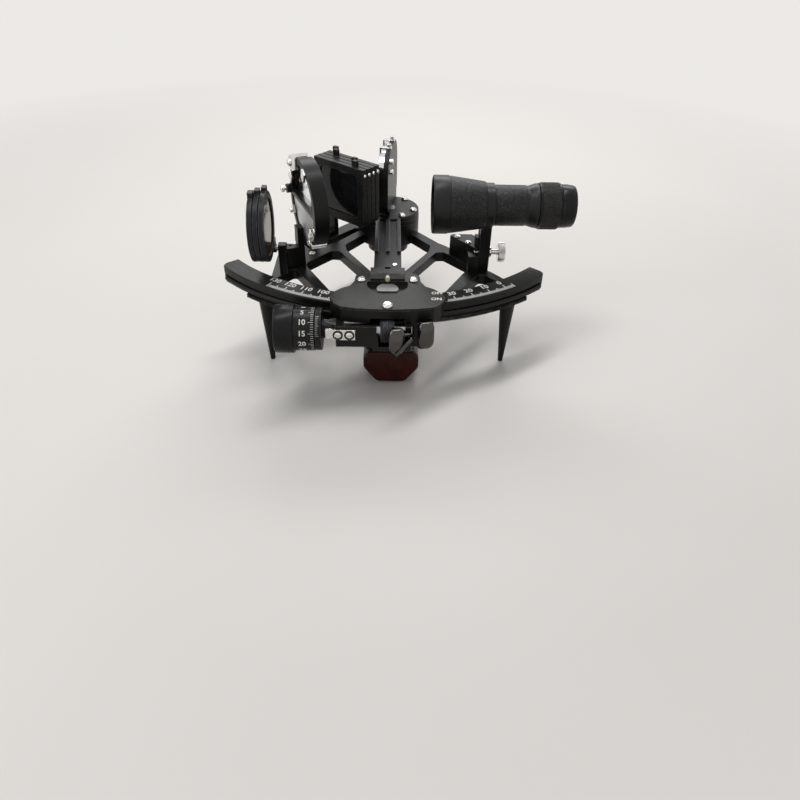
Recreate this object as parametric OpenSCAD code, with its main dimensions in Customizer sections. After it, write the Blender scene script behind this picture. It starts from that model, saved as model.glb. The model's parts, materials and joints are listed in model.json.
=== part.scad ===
// Marine micrometer drum sextant, standing on its three legs.
// Origin: the flat foot of the rear leg, on the pivot's axis. The arc points to -Y and the
// telescope's eyepiece to +X. The arm is at the middle of its scale.

/* [Frame] */
// Outer radius of the arc's top face
limb_r = 158; // [150:1:170]
// Width of the arc's top face
limb_w = 14.5; // [12:0.5:17]
// Angle from the middle of the arc to its left end
limb_left = 50.5; // [50:0.5:56]
// Angle from the middle of the arc to its right end
limb_right = 47; // [47:0.1:54]
// Height of the arc's top face above the feet
deck_z = 70; // [64:1:84]
// Thickness of the cast lattice
frame_t = 8; // [7:0.5:9]
// Radius of the frame's hub
hub_r = 26; // [23:1:28]
// Width of the lattice's inner bars
bar_w = 6; // [4.5:0.5:7.5]

/* [Pivot] */
// Radius of the pivot shaft
shaft_r = 6; // [4.5:0.25:7]
// Radial clearance of the shaft in its bush
pivot_clear = 0.05; // [0.02:0.01:0.1]
// Wall of the bush
bush_wall = 4; // [2.5:0.5:5]

/* [Rack and worm] */
// Height of the rack
rack_h = 3; // [2:0.5:4]
// Outer radius of the worm's thread
worm_r = 9.2; // [8.6:0.1:9.6]
// Depth of the worm's thread
thread_depth = 0.75; // [0.7:0.01:0.8]
// Length of the worm's thread
worm_len = 9; // [6:0.5:10]
// Radius of the worm's shaft
worm_shaft_r = 3.9; // [3:0.1:4.5]
// Radius of the drum's knob
knob_r = 16.1; // [13:0.1:16.8]
// Length of the drum's knob
knob_len = 13; // [9:0.5:18]
// Radius of the drum's dial
dial_r = 14.4; // [11:0.1:15]
// Length of the drum's dial
dial_len = 13.7; // [10:0.1:18]
// Largest angle that the release lever swings the worm out
release_angle = 4; // [3:0.5:5]

/* [Index arm] */
// Width of the arm
arm_w = 20; // [14:1:20]
// Thickness of the arm
arm_t = 3; // [2:0.5:3]
// Air between the arm and the frame
arm_gap = 0.5; // [0.3:0.1:0.6]
// Thickness of the disc that carries the mirror
disc_t = 3.5; // [2.5:0.5:5]
// Width of the lamp housing
housing_w = 77; // [70:1:82]
// Radius of the half moon window in the housing
window_r = 14.2; // [11:0.1:15]

/* [Index mirror] */
// Width of the index mirror's glass
index_glass_w = 56; // [46:1:58]
// Height of the index mirror's glass
index_glass_h = 42; // [34:1:46]
// Radius of the index mirror's upper corners
mirror_arch = 18; // [6:1:20]
// Thickness of the mirrors' glass
glass_t = 4; // [3:0.5:5]

/* [Horizon mirror] */
// Radius of the horizon mirror's glass
horizon_glass_r = 27.5; // [24:0.5:28.5]
// Radial width of the horizon mirror's ring
ring_w = 4.3; // [3:0.1:4.3]

/* [Shades] */
// Outer radius of a horizon shade
shade_r = 24; // [20:0.5:24]
// Width of a shade frame's rim
rim_w = 4.5; // [3:0.5:6]
// Thickness of a shade frame
shade_t = 3.4; // [3:0.1:3.6]
// Distance from one horizon shade to the next
shade_pitch = 3.9; // [3.8:0.05:4.1]
// Distance from one index shade to the next
index_pitch = 4.7; // [4.2:0.05:5]
// Width of an index shade
index_shade_w = 50; // [42:1:52]
// Height of an index shade
index_shade_h = 44; // [38:1:48]
// Thickness of a filter glass
filter_t = 1.5; // [1:0.25:2]
// Radius of the shades' hinge pins
shade_pin_r = 1.6; // [1.2:0.1:2]

/* [Telescope] */
// Height of the telescope's axis above the arc's top face
tele_h = 37.5; // [34:0.5:42]
// Radius of the objective's hood
hood_r = 20.75; // [17:0.25:22]
// Length of the smooth hood
hood_len = 11.2; // [8:0.1:16]
// Radius of the telescope's body
body_r = 14.4; // [13:0.1:15.5]
// Radius of the focus ring
focus_r = 16.9; // [15.5:0.1:19]
// Length of the focus ring
focus_len = 15.8; // [10:0.1:16]
// How far the telescope rises and sinks from its middle height
rise = 5; // [3:0.5:6]
// Radius of the thumb screw's head
thumb_r = 7.5; // [5.5:0.25:9]

/* [Legs and handle] */
// Distance of the front legs from the middle
leg_x = 88; // [82:1:92]
// Radius of a front leg at its top
leg_top_r = 6; // [4.5:0.25:6.5]
// Radius of a leg's foot
foot_r = 1.8; // [1.5:0.1:3]
// Width of the handle
grip_w = 39.8; // [32:0.2:44]
// Height of the handle
grip_h = 27; // [22:0.5:28]

/* [Hidden] */
$fn = 72;

// Colours
satin_black = "#1b1b1d";
worn_black = "#2b2a2b";
mirror_grey = "#b9bcc0";
nickel = "#c9cbcd";
chrome = "#6f7276";
bakelite = "#2a1512";
brass = "#b08d4a";
clear_glass = "#cfe0e8";
filter_glass = "#3a4a58";

// Small shared sizes
face = 0.02;
loose = 0.1;
screw_r = 2.6;
screw_h = 1.6;

// Heights and radii of the frame
k = limb_r / 158;
base_z = deck_z - 20;
lattice_z = base_z + frame_t;
limb_in = limb_r - limb_w;
lower_z = deck_z - 10.5;
rack_z = lower_z - rack_h;
hub_low = base_z;
hub_top = deck_z - 2;
bush_r = shaft_r + pivot_clear + bush_wall;
limb_angle = limb_left + limb_right;
lower_r = limb_r + 1.8;
plate_z = deck_z + arm_gap;
plate_top = plate_z + arm_t;

// Rack and worm: one tooth is half a degree of arc, so one drum turn is one degree of reading
tooth_angle = 0.5;
rack_tip = limb_r + 1.9;
rack_root = rack_tip - 0.8;
rack_in = limb_r - 8;
rack_half = 39;
tooth_tip_w = 0.3;
tooth_root_w = 0.85;
mesh_r = rack_tip - 0.3;
lead = mesh_r * tooth_angle * PI / 180;
thread_root = worm_r - thread_depth;
thread_tip_w = 0.35;
flank = tan(20);
axis_y = -(rack_tip - 0.6 + worm_r);
axis_z = lower_z - 1.5;

// Places of the pieces on the frame
leg_y = 118 * k;
stud_r = 2;
horizon_x = -57 * k;
horizon_y = -75 * k;
tele_z = deck_z + tele_h;
horizon_z = tele_z - 0.5;
horizon_turn = 22;
horizon_ring_r = horizon_glass_r + ring_w;
glass_turn = 172.7;
side_x = 68.5 * k;
stand_x = 61 * k;
stand_front = -83 * k;
stand_back = -62 * k;

// Shade hinges
shade_hinge_y = -87.5 * k;
shade_hinge_z = deck_z + 7.3;
shade_dy = -21.5;
shade_dz = 26.2;
shade_x = -82.3 * k;
lug_r = shade_pin_r + 1.6;
web_rise = 0.7;
index_path = 230;
index_s = 46;
index_t = -25;
index_z = deck_z + 14;
index_bracket_w = 7;

// Telescope stations along its axis
tele_x = 32.3 * k;
hood_end = tele_x + hood_len;
taper_end = hood_end + 27;
ring_end = taper_end + 6.5;
body_end = ring_end + 25;
flare_end = body_end + 6.5;
focus_start = flare_end + 0.3;
focus_end = focus_start + focus_len;
cup_start = focus_end + 0.4;
cup_len = 10.7;
ring_r = body_r + 1.4;
eye_tube_r = 10.5;
eye_tube_len = 14;
neck_r = eye_tube_r + 1.7;
focus_travel = 3;
stem_x = side_x + 0.5;
stem_t = 8;
stem_y1 = -80 * k;
stem_y2 = -66 * k;
thumb_z = deck_z - 0.3;
thumb_shaft_r = 2;
thumb_depth = 2.8;

// Handle stations
grip_x = 2.9;
grip_front = -limb_in - 2.5;
grip_back = -hub_r + 2;
grip_low = 1.2;
grip_top = grip_low + grip_h;
cap_t = 4;

// Arm stations
arm_hub_z = hub_top + 0.3;
arm_hub_h = 3.2;
disc_z = arm_hub_z + arm_hub_h;
disc_top = disc_z + disc_t;
window_y = -(limb_r - 25);
index_floor = plate_top - 1.5;
cover_t = 1.5;
skirt_in = rack_tip + 0.7;
skirt_low = deck_z - 5.6;
notch_top = axis_z + worm_r + 0.6;

// Carriage stations
hinge_x = 24;
hinge_y = axis_y + 2.5;
hinge_pin_r = 2.5;
boss_r = 5.5;
web_low = axis_z - 12.4;
web_t = 2.6;
block_low = axis_z - 9.5;
wall_top = skirt_low - 0.3;
wall_l = -34;
wall_r = 12;
carriage_in = -(rack_tip + 1.6);
carriage_out = axis_y - 7;
vernier_x = wall_l - 9;
vernier_t = 4;
dial_x = vernier_x - vernier_t - 0.3;
knob_x = dial_x - dial_len;

// A point of the lattice, kept in step with the arc's radius
function at(x, y) = [x * k, y * k];
function arc(r, a1, a2, n) = [for (i = [0 : n]) let (a = a1 + (a2 - a1) * i / n) [r * sin(a), -r * cos(a)]];
function mirrored(points) = [for (p = points) [-p[0], p[1]]];

// The casting's outline and the openings between its bars
mid_r = limb_in + 3;
right_side = concat([at(0, -5), at(20, -6), at(27.4, -13.9), at(41.6, -33.1), at(47, -38), at(52, -44),
    at(65, -45), at(68.5, -49), at(68.5, -80.8), at(78, -82), at(98.5, -108.8)], arc(mid_r, 42, 0, 16));
left_side = concat([at(0, -5), at(20, -6), at(27.4, -13.9), at(41.6, -33.1), at(56, -45), at(80, -50),
    at(87, -57), at(87, -94), at(98.5, -108.8)], arc(mid_r, 42, 0, 16));
kite = [at(-19, -16), at(19, -16), at(34.7, -38.2), at(39 - bar_w, -48.5), at(18 - bar_w, -86.2),
    at(0, -114 + bar_w), at(bar_w - 18, -86.2), at(bar_w - 39, -48.5), at(-34.7, -38.2)];
diamond = concat([at(38.7, -50.8), at(44.7, -50.1), at(62.5, -71.5), at(62.5, -77), at(28, -142)],
    [at(22, -140), at(2.8 + bar_w / 6, -112)]);
triangle_low = concat([at(94.5, -112.5)], arc(mid_r, 38, 15.5, 8), [at(53.1, -112.7)]);
right_triangle = concat([at(74, -89)], triangle_low, [at(69.7, -88)]);
left_triangle = concat([at(72.5, -84.3)], triangle_low, [at(69.7, -83.2)]);
module softened(r) {
    offset(r = r, $fn = 24) offset(delta = -r) children();
}
module eased(r) {
    offset(r = -r, $fn = 24) offset(delta = r) children();
}

module lattice_plan() {
    difference() {
        eased(2.5) union() {
            polygon(right_side);
            polygon(mirrored(left_side));
            circle(r = hub_r);
            rotate(index_path) translate([0, index_t - 4.5]) square([82 * k, 11]);
        }
        softened(2) polygon(kite);
        softened(2) polygon(diamond);
        softened(2) polygon(mirrored(diamond));
        softened(2) polygon(right_triangle);
        softened(2) polygon(mirrored(left_triangle));
    }
    translate([grip_x - 2 - bracket_x, -limb_in - 4]) square([2 * bracket_x, 12]);
}

module limb() {
    rotate([0, 0, 270 - limb_left]) rotate_extrude(angle = limb_angle)
        polygon([[limb_in, rack_z], [rack_in - 0.1, rack_z], [rack_in - 0.1, lower_z],
            [lower_r - 1.1, lower_z], [lower_r - 1.1, lower_z + 1.9], [lower_r, lower_z + 1.9],
            [lower_r, lower_z + 3.1], [lower_r - 1, lower_z + 4.1], [limb_r - 1.4, lower_z + 4.1],
            [limb_r - 1.4, deck_z - 5.2], [limb_r, deck_z - 5.2], [limb_r, deck_z - 0.6],
            [limb_r - 0.6, deck_z], [limb_in, deck_z]]);
}

// What is cut from an end of the limb to round its outer corner
limb_round = 7;
module limb_corner() {
    translate([0, 0, rack_z - 1]) linear_extrude(deck_z - rack_z + 2) difference() {
        translate([-limb_round, -limb_r - 8]) square([limb_round + 1, limb_round + 8]);
        translate([-limb_round, limb_round - limb_r]) circle(r = limb_round + 0.4);
    }
}

module frame() {
    color(satin_black) difference() {
        union() {
            translate([0, 0, base_z]) linear_extrude(frame_t) lattice_plan();
            limb();
            translate([0, 0, hub_low]) cylinder(r = hub_r, h = hub_top - hub_low);
        }
        translate([0, 0, hub_low - 1]) cylinder(r = bush_r + face, h = hub_top - hub_low + 2);
        for (x = [-leg_x, leg_x]) {
            translate([x, -leg_y, rack_z - 1]) cylinder(r = stud_r + face, h = 11);
            translate([x, -leg_y, base_z - 1]) cylinder(r = leg_top_r + 0.4, h = rack_z - base_z + 1 + face);
        }
        translate([stem_x - 0.4, stem_y1 - 0.4, base_z - 1])
            cube([stem_t + 0.8, stem_y2 - stem_y1 + 0.8, frame_t + 2]);
        rotate([0, 0, limb_right]) limb_corner();
        rotate([0, 0, -limb_left]) mirror([1, 0, 0]) limb_corner();
    }
}

module toothed_rack() {
    teeth = rack_half / tooth_angle;
    half_tip = tooth_tip_w / rack_tip * 90 / PI;
    half_root = tooth_root_w / rack_root * 90 / PI;
    edge = [for (i = [-teeth : teeth - 1]) let (a = (i + 0.5) * tooth_angle)
        for (p = [[rack_root, a - half_root], [rack_tip, a - half_tip], [rack_tip, a + half_tip],
            [rack_root, a + half_root]]) [p[0] * sin(p[1]), -p[0] * cos(p[1])]];
    color(nickel) translate([0, 0, rack_z]) linear_extrude(rack_h)
        polygon(concat(edge, arc(rack_in, rack_half, -rack_half, 78)));
}

module front_leg(x) {
    color(satin_black) translate([x, -leg_y, 0]) {
        cylinder(r1 = foot_r, r2 = leg_top_r, h = rack_z);
        translate([0, 0, rack_z]) cylinder(r = stud_r, h = 9.5);
    }
}
module leg_left() {
    front_leg(-leg_x);
}
module leg_right() {
    front_leg(leg_x);
}

cup_r = bush_r + 7;
cup_h = 10;
module leg_rear() {
    color(satin_black) rotate_extrude()
        polygon([[0, 0], [foot_r, 0], [7, hub_low - 16], [cup_r, hub_low - cup_h], [cup_r, hub_low],
            [cup_r - 3, hub_low], [cup_r - 3, hub_low - cup_h + 3], [0, hub_low - cup_h + 3]]);
}

module pivot_bush() {
    color(brass) translate([0, 0, hub_low]) difference() {
        cylinder(r = bush_r, h = hub_top - hub_low);
        translate([0, 0, -1]) cylinder(r = shaft_r + pivot_clear, h = hub_top - hub_low + 2);
    }
}

module grip_section() {
    w = grip_w / 2;
    softened(4) polygon([[-w + 9.4, 0], [w - 9.8, 0], [w, grip_h * 0.45], [w, grip_h * 0.78],
        [w - 3.2, grip_h], [-w + 3.7, grip_h], [-w, grip_h * 0.78], [-w, grip_h * 0.45]]);
}

module handle_grip() {
    color(bakelite) translate([grip_x, grip_back, grip_low]) rotate([90, 0, 0])
        linear_extrude(grip_back - grip_front) grip_section();
}
module handle_end_cap() {
    color("#191112") translate([grip_x, grip_front, grip_low]) rotate([90, 0, 0]) {
        linear_extrude(cap_t - 1) grip_section();
        translate([0, 0, cap_t - 1]) linear_extrude(1) offset(delta = -1.2) grip_section();
    }
}

bracket_x = 16;
module handle_brackets() {
    color(satin_black) {
        translate([grip_x - 2 - bracket_x, -limb_in - 4, grip_top])
            cube([2 * bracket_x, 6, base_z - grip_top]);
        translate([-7, grip_back - 20, grip_top]) cube([14, 22, 3]);
        translate([-7, grip_back - 1, grip_top]) cube([14, 6, hub_low - grip_top]);
    }
}

module dome_screw(r, h) {
    difference() {
        union() {
            cylinder(r = r, h = h * 0.45);
            translate([0, 0, h * 0.45]) cylinder(r1 = r, r2 = r * 0.6, h = h * 0.55);
        }
        translate([-r, -0.35, h - 0.6]) cube([2 * r, 0.7, 1]);
    }
}

stand_plate_t = 3.5;
module frame_screws() {
    color(nickel) {
        translate([at(54.5, -55)[0], at(54.5, -55)[1], deck_z + stand_plate_t])
            rotate([0, 0, 35]) dome_screw(screw_r, screw_h);
        translate([at(62, -65.5)[0], at(62, -65.5)[1], deck_z + stand_plate_t])
            rotate([0, 0, 75]) dome_screw(screw_r, screw_h);
        translate([at(-60, -56)[0], at(-60, -56)[1], lattice_z]) rotate([0, 0, 20]) dome_screw(screw_r, screw_h);
    }
}

// Horizon mirror: its own frame looks along the mirror's normal
ring_back = -6;
ring_front = 5;
bar_h = 3;
module at_horizon_mirror() {
    translate([horizon_x, horizon_y, 0]) rotate([0, 0, horizon_turn]) children();
}
module along_normal(x) {
    translate([x, 0, horizon_z]) rotate([0, 90, 0]) children();
}

module horizon_mirror_base() {
    top = horizon_z - 18;
    color(satin_black) at_horizon_mirror() difference() {
        union() {
            translate([ring_back - 15, 0.5, lattice_z]) cube([15, 12, deck_z + 4 - lattice_z]);
            translate([ring_back - 5, 0.5, deck_z]) cube([5, 8, top - deck_z]);
        }
        translate([ring_back - 10, 6, deck_z]) cylinder(r = 1.2, h = 5);
        translate([ring_back - 16, 13, deck_z + 1]) rotate([0, 0, -30]) cube([12, 12, 5]);
    }
}

module horizon_mirror_frame() {
    color(satin_black) at_horizon_mirror() {
        difference() {
            along_normal(ring_back) cylinder(r = horizon_ring_r, h = ring_front - ring_back);
            along_normal(ring_back - 1) cylinder(r = horizon_glass_r - 1.5, h = 20);
            along_normal(ring_back - 1) cylinder(r = horizon_glass_r + face, h = 1 - ring_back);
        }
        translate([ring_back, -horizon_glass_r - 1, horizon_z - bar_h / 2])
            cube([-3.1 - ring_back, 2 * horizon_glass_r + 2, bar_h]);
    }
}

module horizon_mirror_glass() {
    color(clear_glass) at_horizon_mirror() along_normal(-3) cylinder(r = horizon_glass_r, h = 3);
}

module horizon_mirror_backing() {
    color(mirror_grey) at_horizon_mirror() intersection() {
        along_normal(-4.6) cylinder(r = horizon_glass_r - 0.2, h = 1.5);
        translate([-10, -40, horizon_z - bar_h / 2 - 40.1]) cube([20, 80, 40]);
    }
}

module horizon_mirror_clips() {
    color(nickel) at_horizon_mirror() {
        for (a = [62, 118, 205, 300]) along_normal(ring_back - 1.6) rotate([0, 0, a]) {
            translate([horizon_glass_r - 4, -3, 0]) cube([ring_w + 3, 6, 1.6]);
        }
        for (a = [62, 300]) along_normal(ring_back - 3.2) rotate([0, 0, a])
            translate([horizon_glass_r + 1, 0, 0]) cylinder(r = 2, h = 1.6);
    }
}

// Horizon shades: three round filters on one pin, swung down in front of the mirror's line
function shade_plane(i) = shade_x - i * shade_pitch;
shade_back = shade_plane(2) - shade_t;
block_x = at(-81, 0)[0];
module horizon_shade_bracket() {
    y = shade_hinge_y;
    color(satin_black) difference() {
        union() {
            translate([block_x, y - 3.2, lattice_z]) cube([6, 6.2, shade_hinge_z - lattice_z + 3.6]);
        }
        translate([shade_back - 10, y, shade_hinge_z]) rotate([0, 90, 0]) cylinder(r = shade_pin_r + face, h = 60);
    }
}
module horizon_shade_pin() {
    color(nickel) translate([0, shade_hinge_y, shade_hinge_z]) rotate([0, 90, 0]) {
        translate([0, 0, shade_back - 0.5]) cylinder(r = shade_pin_r, h = block_x + 6.5 - shade_back);
        translate([0, 0, shade_back - 2.3]) cylinder(r = 3.2, h = 2);
    }
}

module horizon_shade_frame(i) {
    cy = shade_hinge_y + shade_dy;
    cz = shade_hinge_z + shade_dz;
    color(worn_black) difference() {
        union() {
            translate([shade_plane(i) - shade_t, cy, cz]) rotate([0, 90, 0]) cylinder(r = shade_r, h = shade_t);
            translate([shade_plane(i) - shade_t, shade_hinge_y, shade_hinge_z]) rotate([0, 90, 0])
                cylinder(r = lug_r, h = shade_t);
            translate([shade_plane(i) - shade_t, shade_hinge_y - 7.5, shade_hinge_z + web_rise])
                cube([shade_t, 7.5, 8.5]);
            translate([shade_plane(i) - shade_t, cy + 2 - 5 * i, cz + shade_r - 2]) cube([shade_t, 6, 4.5]);
        }
        translate([shade_plane(i) - shade_t - 1, cy, cz]) rotate([0, 90, 0])
            cylinder(r = shade_r - rim_w, h = shade_t + 2);
        translate([shade_plane(i) - (shade_t + filter_t) / 2 - loose / 2, cy, cz]) rotate([0, 90, 0])
            cylinder(r = shade_r - rim_w + 1.1, h = filter_t + loose);
        translate([shade_plane(i) - shade_t - 1, shade_hinge_y, shade_hinge_z]) rotate([0, 90, 0])
            cylinder(r = shade_pin_r + 0.05, h = shade_t + 2);
    }
}
module horizon_shade_glass(i, tint) {
    color(tint) translate([shade_plane(i) - (shade_t + filter_t) / 2, shade_hinge_y + shade_dy,
        shade_hinge_z + shade_dz]) rotate([0, 90, 0]) cylinder(r = shade_r - rim_w + 1, h = filter_t);
}
module horizon_shade_frame_1() {
    horizon_shade_frame(0);
}
module horizon_shade_frame_2() {
    horizon_shade_frame(1);
}
module horizon_shade_frame_3() {
    horizon_shade_frame(2);
}
module horizon_shade_glass_1() {
    horizon_shade_glass(0, "#7a5a2a");
}
module horizon_shade_glass_2() {
    horizon_shade_glass(1, filter_glass);
}
module horizon_shade_glass_3() {
    horizon_shade_glass(2, "#2f5a3c");
}

// Index shades: four square filters on one pin, standing across the line to the horizon mirror
index_shade_t = index_pitch - 0.7;
function index_plane(i) = index_s + i * index_pitch;
index_near = index_plane(0) - index_shade_t / 2;
index_far = index_plane(3) + index_shade_t / 2;
index_gap = 2.8;
bracket_len = 4.5;
module at_index_path() {
    rotate([0, 0, index_path]) children();
}
module index_shade_bracket() {
    low = index_t - index_bracket_w / 2;
    color(satin_black) at_index_path() difference() {
        union() {
            translate([index_near - bracket_len - 0.6, low, lattice_z])
                cube([index_far - index_near + 2 * bracket_len + 1.2, index_bracket_w, 4]);
            for (s = [index_near - bracket_len - 0.6, index_far + 0.6])
                translate([s, low, lattice_z]) cube([bracket_len, index_bracket_w, index_z - lattice_z + 3.5]);
        }
        translate([index_near - 10, index_t, index_z]) rotate([0, 90, 0])
            cylinder(r = shade_pin_r + face, h = 60);
    }
}
module index_shade_pin() {
    color(nickel) at_index_path() translate([0, index_t, index_z]) rotate([0, 90, 0]) {
        translate([0, 0, index_near - bracket_len - 0.6])
            cylinder(r = shade_pin_r, h = index_far - index_near + 2 * bracket_len + 1.2);
        translate([0, 0, index_far + bracket_len + 0.6]) cylinder(r = 3.2, h = 2);
    }
}

// One index shade, drawn in the plane across the path: t runs right, z up
module index_shade_plan() {
    left = index_t + index_gap;
    difference() {
        union() {
            softened(3.5) translate([left, index_z]) square([index_shade_w, index_shade_h]);
            translate([left, index_z + 12]) square([12, index_shade_h - 12]);
            translate([left + index_shade_w - 12, index_z + 12]) square([12, index_shade_h - 12]);
        }
        softened(5) translate([left + rim_w + 1, index_z + rim_w + 1.5])
            square([index_shade_w - 2 * rim_w - 2, index_shade_h - 2 * rim_w - 2]);
    }
}
function index_tab(i) = i < 2 ? 6 + 5 * i : index_shade_w - 16 + 5 * (i - 2);
module index_shade_frame(i) {
    left = index_t + index_gap;
    color(satin_black) at_index_path() translate([index_plane(i) - index_shade_t / 2, 0, 0]) difference() {
        union() {
            rotate([90, 0, 90]) linear_extrude(index_shade_t) index_shade_plan();
            translate([0, index_t, index_z]) rotate([0, 90, 0]) cylinder(r = lug_r, h = index_shade_t);
            translate([0, index_t, index_z + 1]) cube([index_shade_t, index_gap + 2, lug_r + 4]);
            translate([0.5, left + index_tab(i), index_z + index_shade_h - 1]) cube([index_shade_t - 1, 4, 6]);
        }
        translate([-1, index_t, index_z]) rotate([0, 90, 0]) cylinder(r = shade_pin_r + 0.05, h = index_shade_t + 2);
        translate([(index_shade_t - filter_t - loose) / 2, left + rim_w - 0.1, index_z + rim_w + 0.4])
            cube([filter_t + loose, index_shade_w - 2 * rim_w + 0.2, index_shade_h - 2 * rim_w + 0.2]);
    }
}
module index_shade_glass(i, tint) {
    color(tint) at_index_path() translate([index_plane(i) - filter_t / 2, index_t + index_gap + rim_w,
        index_z + rim_w + 0.5]) cube([filter_t, index_shade_w - 2 * rim_w, index_shade_h - 2 * rim_w]);
}
module index_shade_frame_1() {
    index_shade_frame(0);
}
module index_shade_frame_2() {
    index_shade_frame(1);
}
module index_shade_frame_3() {
    index_shade_frame(2);
}
module index_shade_frame_4() {
    index_shade_frame(3);
}
module index_shade_glass_1() {
    index_shade_glass(0, "#5a4a2a");
}
module index_shade_glass_2() {
    index_shade_glass(1, "#2f4a3a");
}
module index_shade_glass_3() {
    index_shade_glass(2, filter_glass);
}
module index_shade_glass_4() {
    index_shade_glass(3, "#22242a");
}

// Telescope: all its pieces are turned about the axis along X
module on_tele_axis(x) {
    translate([x, horizon_y, tele_z]) rotate([0, 90, 0]) children();
}
tongue_w = 3;
tongue_t = 1.5;
module telescope_stand() {
    mid = (stem_y1 + stem_y2) / 2;
    color(satin_black) difference() {
        union() {
            translate([0, 0, lattice_z]) linear_extrude(deck_z + stand_plate_t - lattice_z) softened(1.2)
                polygon([at(48.5, -51.5), at(52, -49.5), at(66, -49.5), at(68.5, -52), at(68.5, -77.4)]);
            translate([stand_x, stand_front, lattice_z])
                cube([side_x - stand_x, stand_back - stand_front, deck_z - lattice_z]);
            translate([0, 0, deck_z + stand_plate_t - face]) linear_extrude(8.5)
                polygon([at(66.2, -73), at(68.5, -76.2), at(68.5, -68), at(66.2, -68)]);
            translate([side_x - face, mid - tongue_w / 2, lattice_z + 1])
                cube([tongue_t, tongue_w, deck_z + 11 - lattice_z]);
        }
        translate([side_x - thumb_depth - 0.3, mid, thumb_z]) rotate([0, 90, 0])
            cylinder(r = thumb_shaft_r + 0.05, h = thumb_depth + 5);
    }
}

slot_w = 2 * thumb_shaft_r + 0.4;
module rising_piece() {
    mid = (stem_y1 + stem_y2) / 2;
    low = base_z;
    color(satin_black) difference() {
        translate([stem_x, stem_y1, low]) cube([stem_t, stem_y2 - stem_y1, tele_z - low - 4]);
        on_tele_axis(stem_x - 1) cylinder(r = ring_r + face, h = stem_t + 2);
        on_tele_axis(stem_x - 1) cylinder(r = ring_r + 1.6, h = taper_end - stem_x + 1.05);
        translate([stem_x - 1, mid - slot_w / 2, thumb_z - rise - slot_w / 2])
            cube([stem_t + 2, slot_w, 2 * rise + slot_w]);
        translate([stem_x - 1, mid - tongue_w / 2 - 0.1, low - 1])
            cube([1 + tongue_t, tongue_w + 0.2, deck_z + 14 - low + rise]);
    }
}

module thumb_screw() {
    mid = (stem_y1 + stem_y2) / 2;
    n = 36;
    head = stem_x + stem_t + 0.5;
    color(nickel) translate([0, mid, thumb_z]) rotate([0, 90, 0]) {
        translate([0, 0, side_x - thumb_depth]) cylinder(r = thumb_shaft_r, h = head + 7 - side_x + thumb_depth);
        translate([0, 0, head]) cylinder(r = thumb_shaft_r + 2.2, h = 1.5);
        translate([0, 0, head + 6.6]) linear_extrude(5.3)
            polygon([for (i = [0 : 2 * n - 1]) let (r = thumb_r - 0.5 * (i % 2), a = 180 * i / n)
                [r * cos(a), r * sin(a)]]);
    }
}

module telescope_tube() {
    bore = body_r - 1.6;
    color(satin_black) on_tele_axis(0) rotate_extrude() polygon([
        [hood_r - 1.6, tele_x], [hood_r, tele_x], [hood_r, hood_end], [hood_r - 0.5, hood_end + 0.6],
        [ring_r + 0.8, taper_end], [ring_r, taper_end], [ring_r, ring_end], [body_r, ring_end],
        [body_r, body_end], [body_r + 1.4, flare_end - 2], [body_r + 1.4, flare_end],
        [neck_r, flare_end], [neck_r, focus_end - 1],
        [eye_tube_r + 0.1, focus_end - 1], [eye_tube_r + 0.1, body_end - 4], [bore, body_end - 6],
        [bore, taper_end], [hood_r - 3.2, hood_end + 8], [hood_r - 3.2, hood_end + 2],
        [hood_r - 1.6, hood_end + 2]]);
}

module objective_lens() {
    color(clear_glass) on_tele_axis(hood_end - 3) cylinder(r = hood_r - 1.65, h = 5);
}

module focus_ring() {
    n = 48;
    color(worn_black) on_tele_axis(focus_start) difference() {
        union() {
            linear_extrude(1.5) circle(r = focus_r - 0.7);
            translate([0, 0, 1.5]) linear_extrude(focus_len - 3)
                polygon([for (i = [0 : 2 * n - 1]) let (r = focus_r - 0.6 * (i % 2), a = 180 * i / n)
                    [r * cos(a), r * sin(a)]]);
            translate([0, 0, focus_len - 1.5]) linear_extrude(1.5) circle(r = focus_r - 0.7);
        }
        translate([0, 0, -1]) cylinder(r = neck_r + 0.05, h = focus_len + 2);
    }
}

module eyepiece_cup() {
    color(satin_black) on_tele_axis(0) rotate_extrude() polygon([
        [eye_tube_r - 1.5, cup_start - eye_tube_len], [eye_tube_r, cup_start - eye_tube_len],
        [eye_tube_r, cup_start], [focus_r - 1.5, cup_start], [focus_r - 1.5, cup_start + 4],
        [focus_r - 2.7, cup_start + cup_len - 1], [focus_r - 3.7, cup_start + cup_len],
        [eye_tube_r - 2.5, cup_start + cup_len], [eye_tube_r - 2.5, cup_start + 3],
        [eye_tube_r - 1.5, cup_start + 3]]);
}
module eyepiece_lens() {
    color(clear_glass) on_tele_axis(cup_start - 4.1) cylinder(r = eye_tube_r - 1.55, h = 7);
}

// Index arm, drawn at the middle of its scale, along -Y
housing_back = -119 * k;
low_from = -86 * k;
low_to = -114 * k;
rib_h = 5.5;
low_rib = 2;
module index_arm() {
    w = arm_w / 2;
    color(satin_black) difference() {
        union() {
            translate([0, 0, arm_hub_z]) cylinder(r = hub_r, h = arm_hub_h);
            difference() {
                translate([-w, housing_back + face, plate_z]) cube([arm_w, -housing_back - 12, arm_t]);
                translate([0, 0, disc_z]) cylinder(r = hub_r, h = 10);
            }
            difference() {
                for (x = [-w, -1.5, w - 3]) translate([x, low_from, plate_top - face])
                    cube([3, -low_from - 12, low_rib]);
                translate([0, 0, disc_z]) cylinder(r = hub_r + 1, h = 10);
            }
            translate([-2, housing_back + face, plate_top - face]) cube([4, low_to - housing_back - face, rib_h]);
        }
        translate([0, 0, arm_hub_z - 1]) cylinder(r = shaft_r + face, h = arm_hub_h + 2);
    }
}

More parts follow.
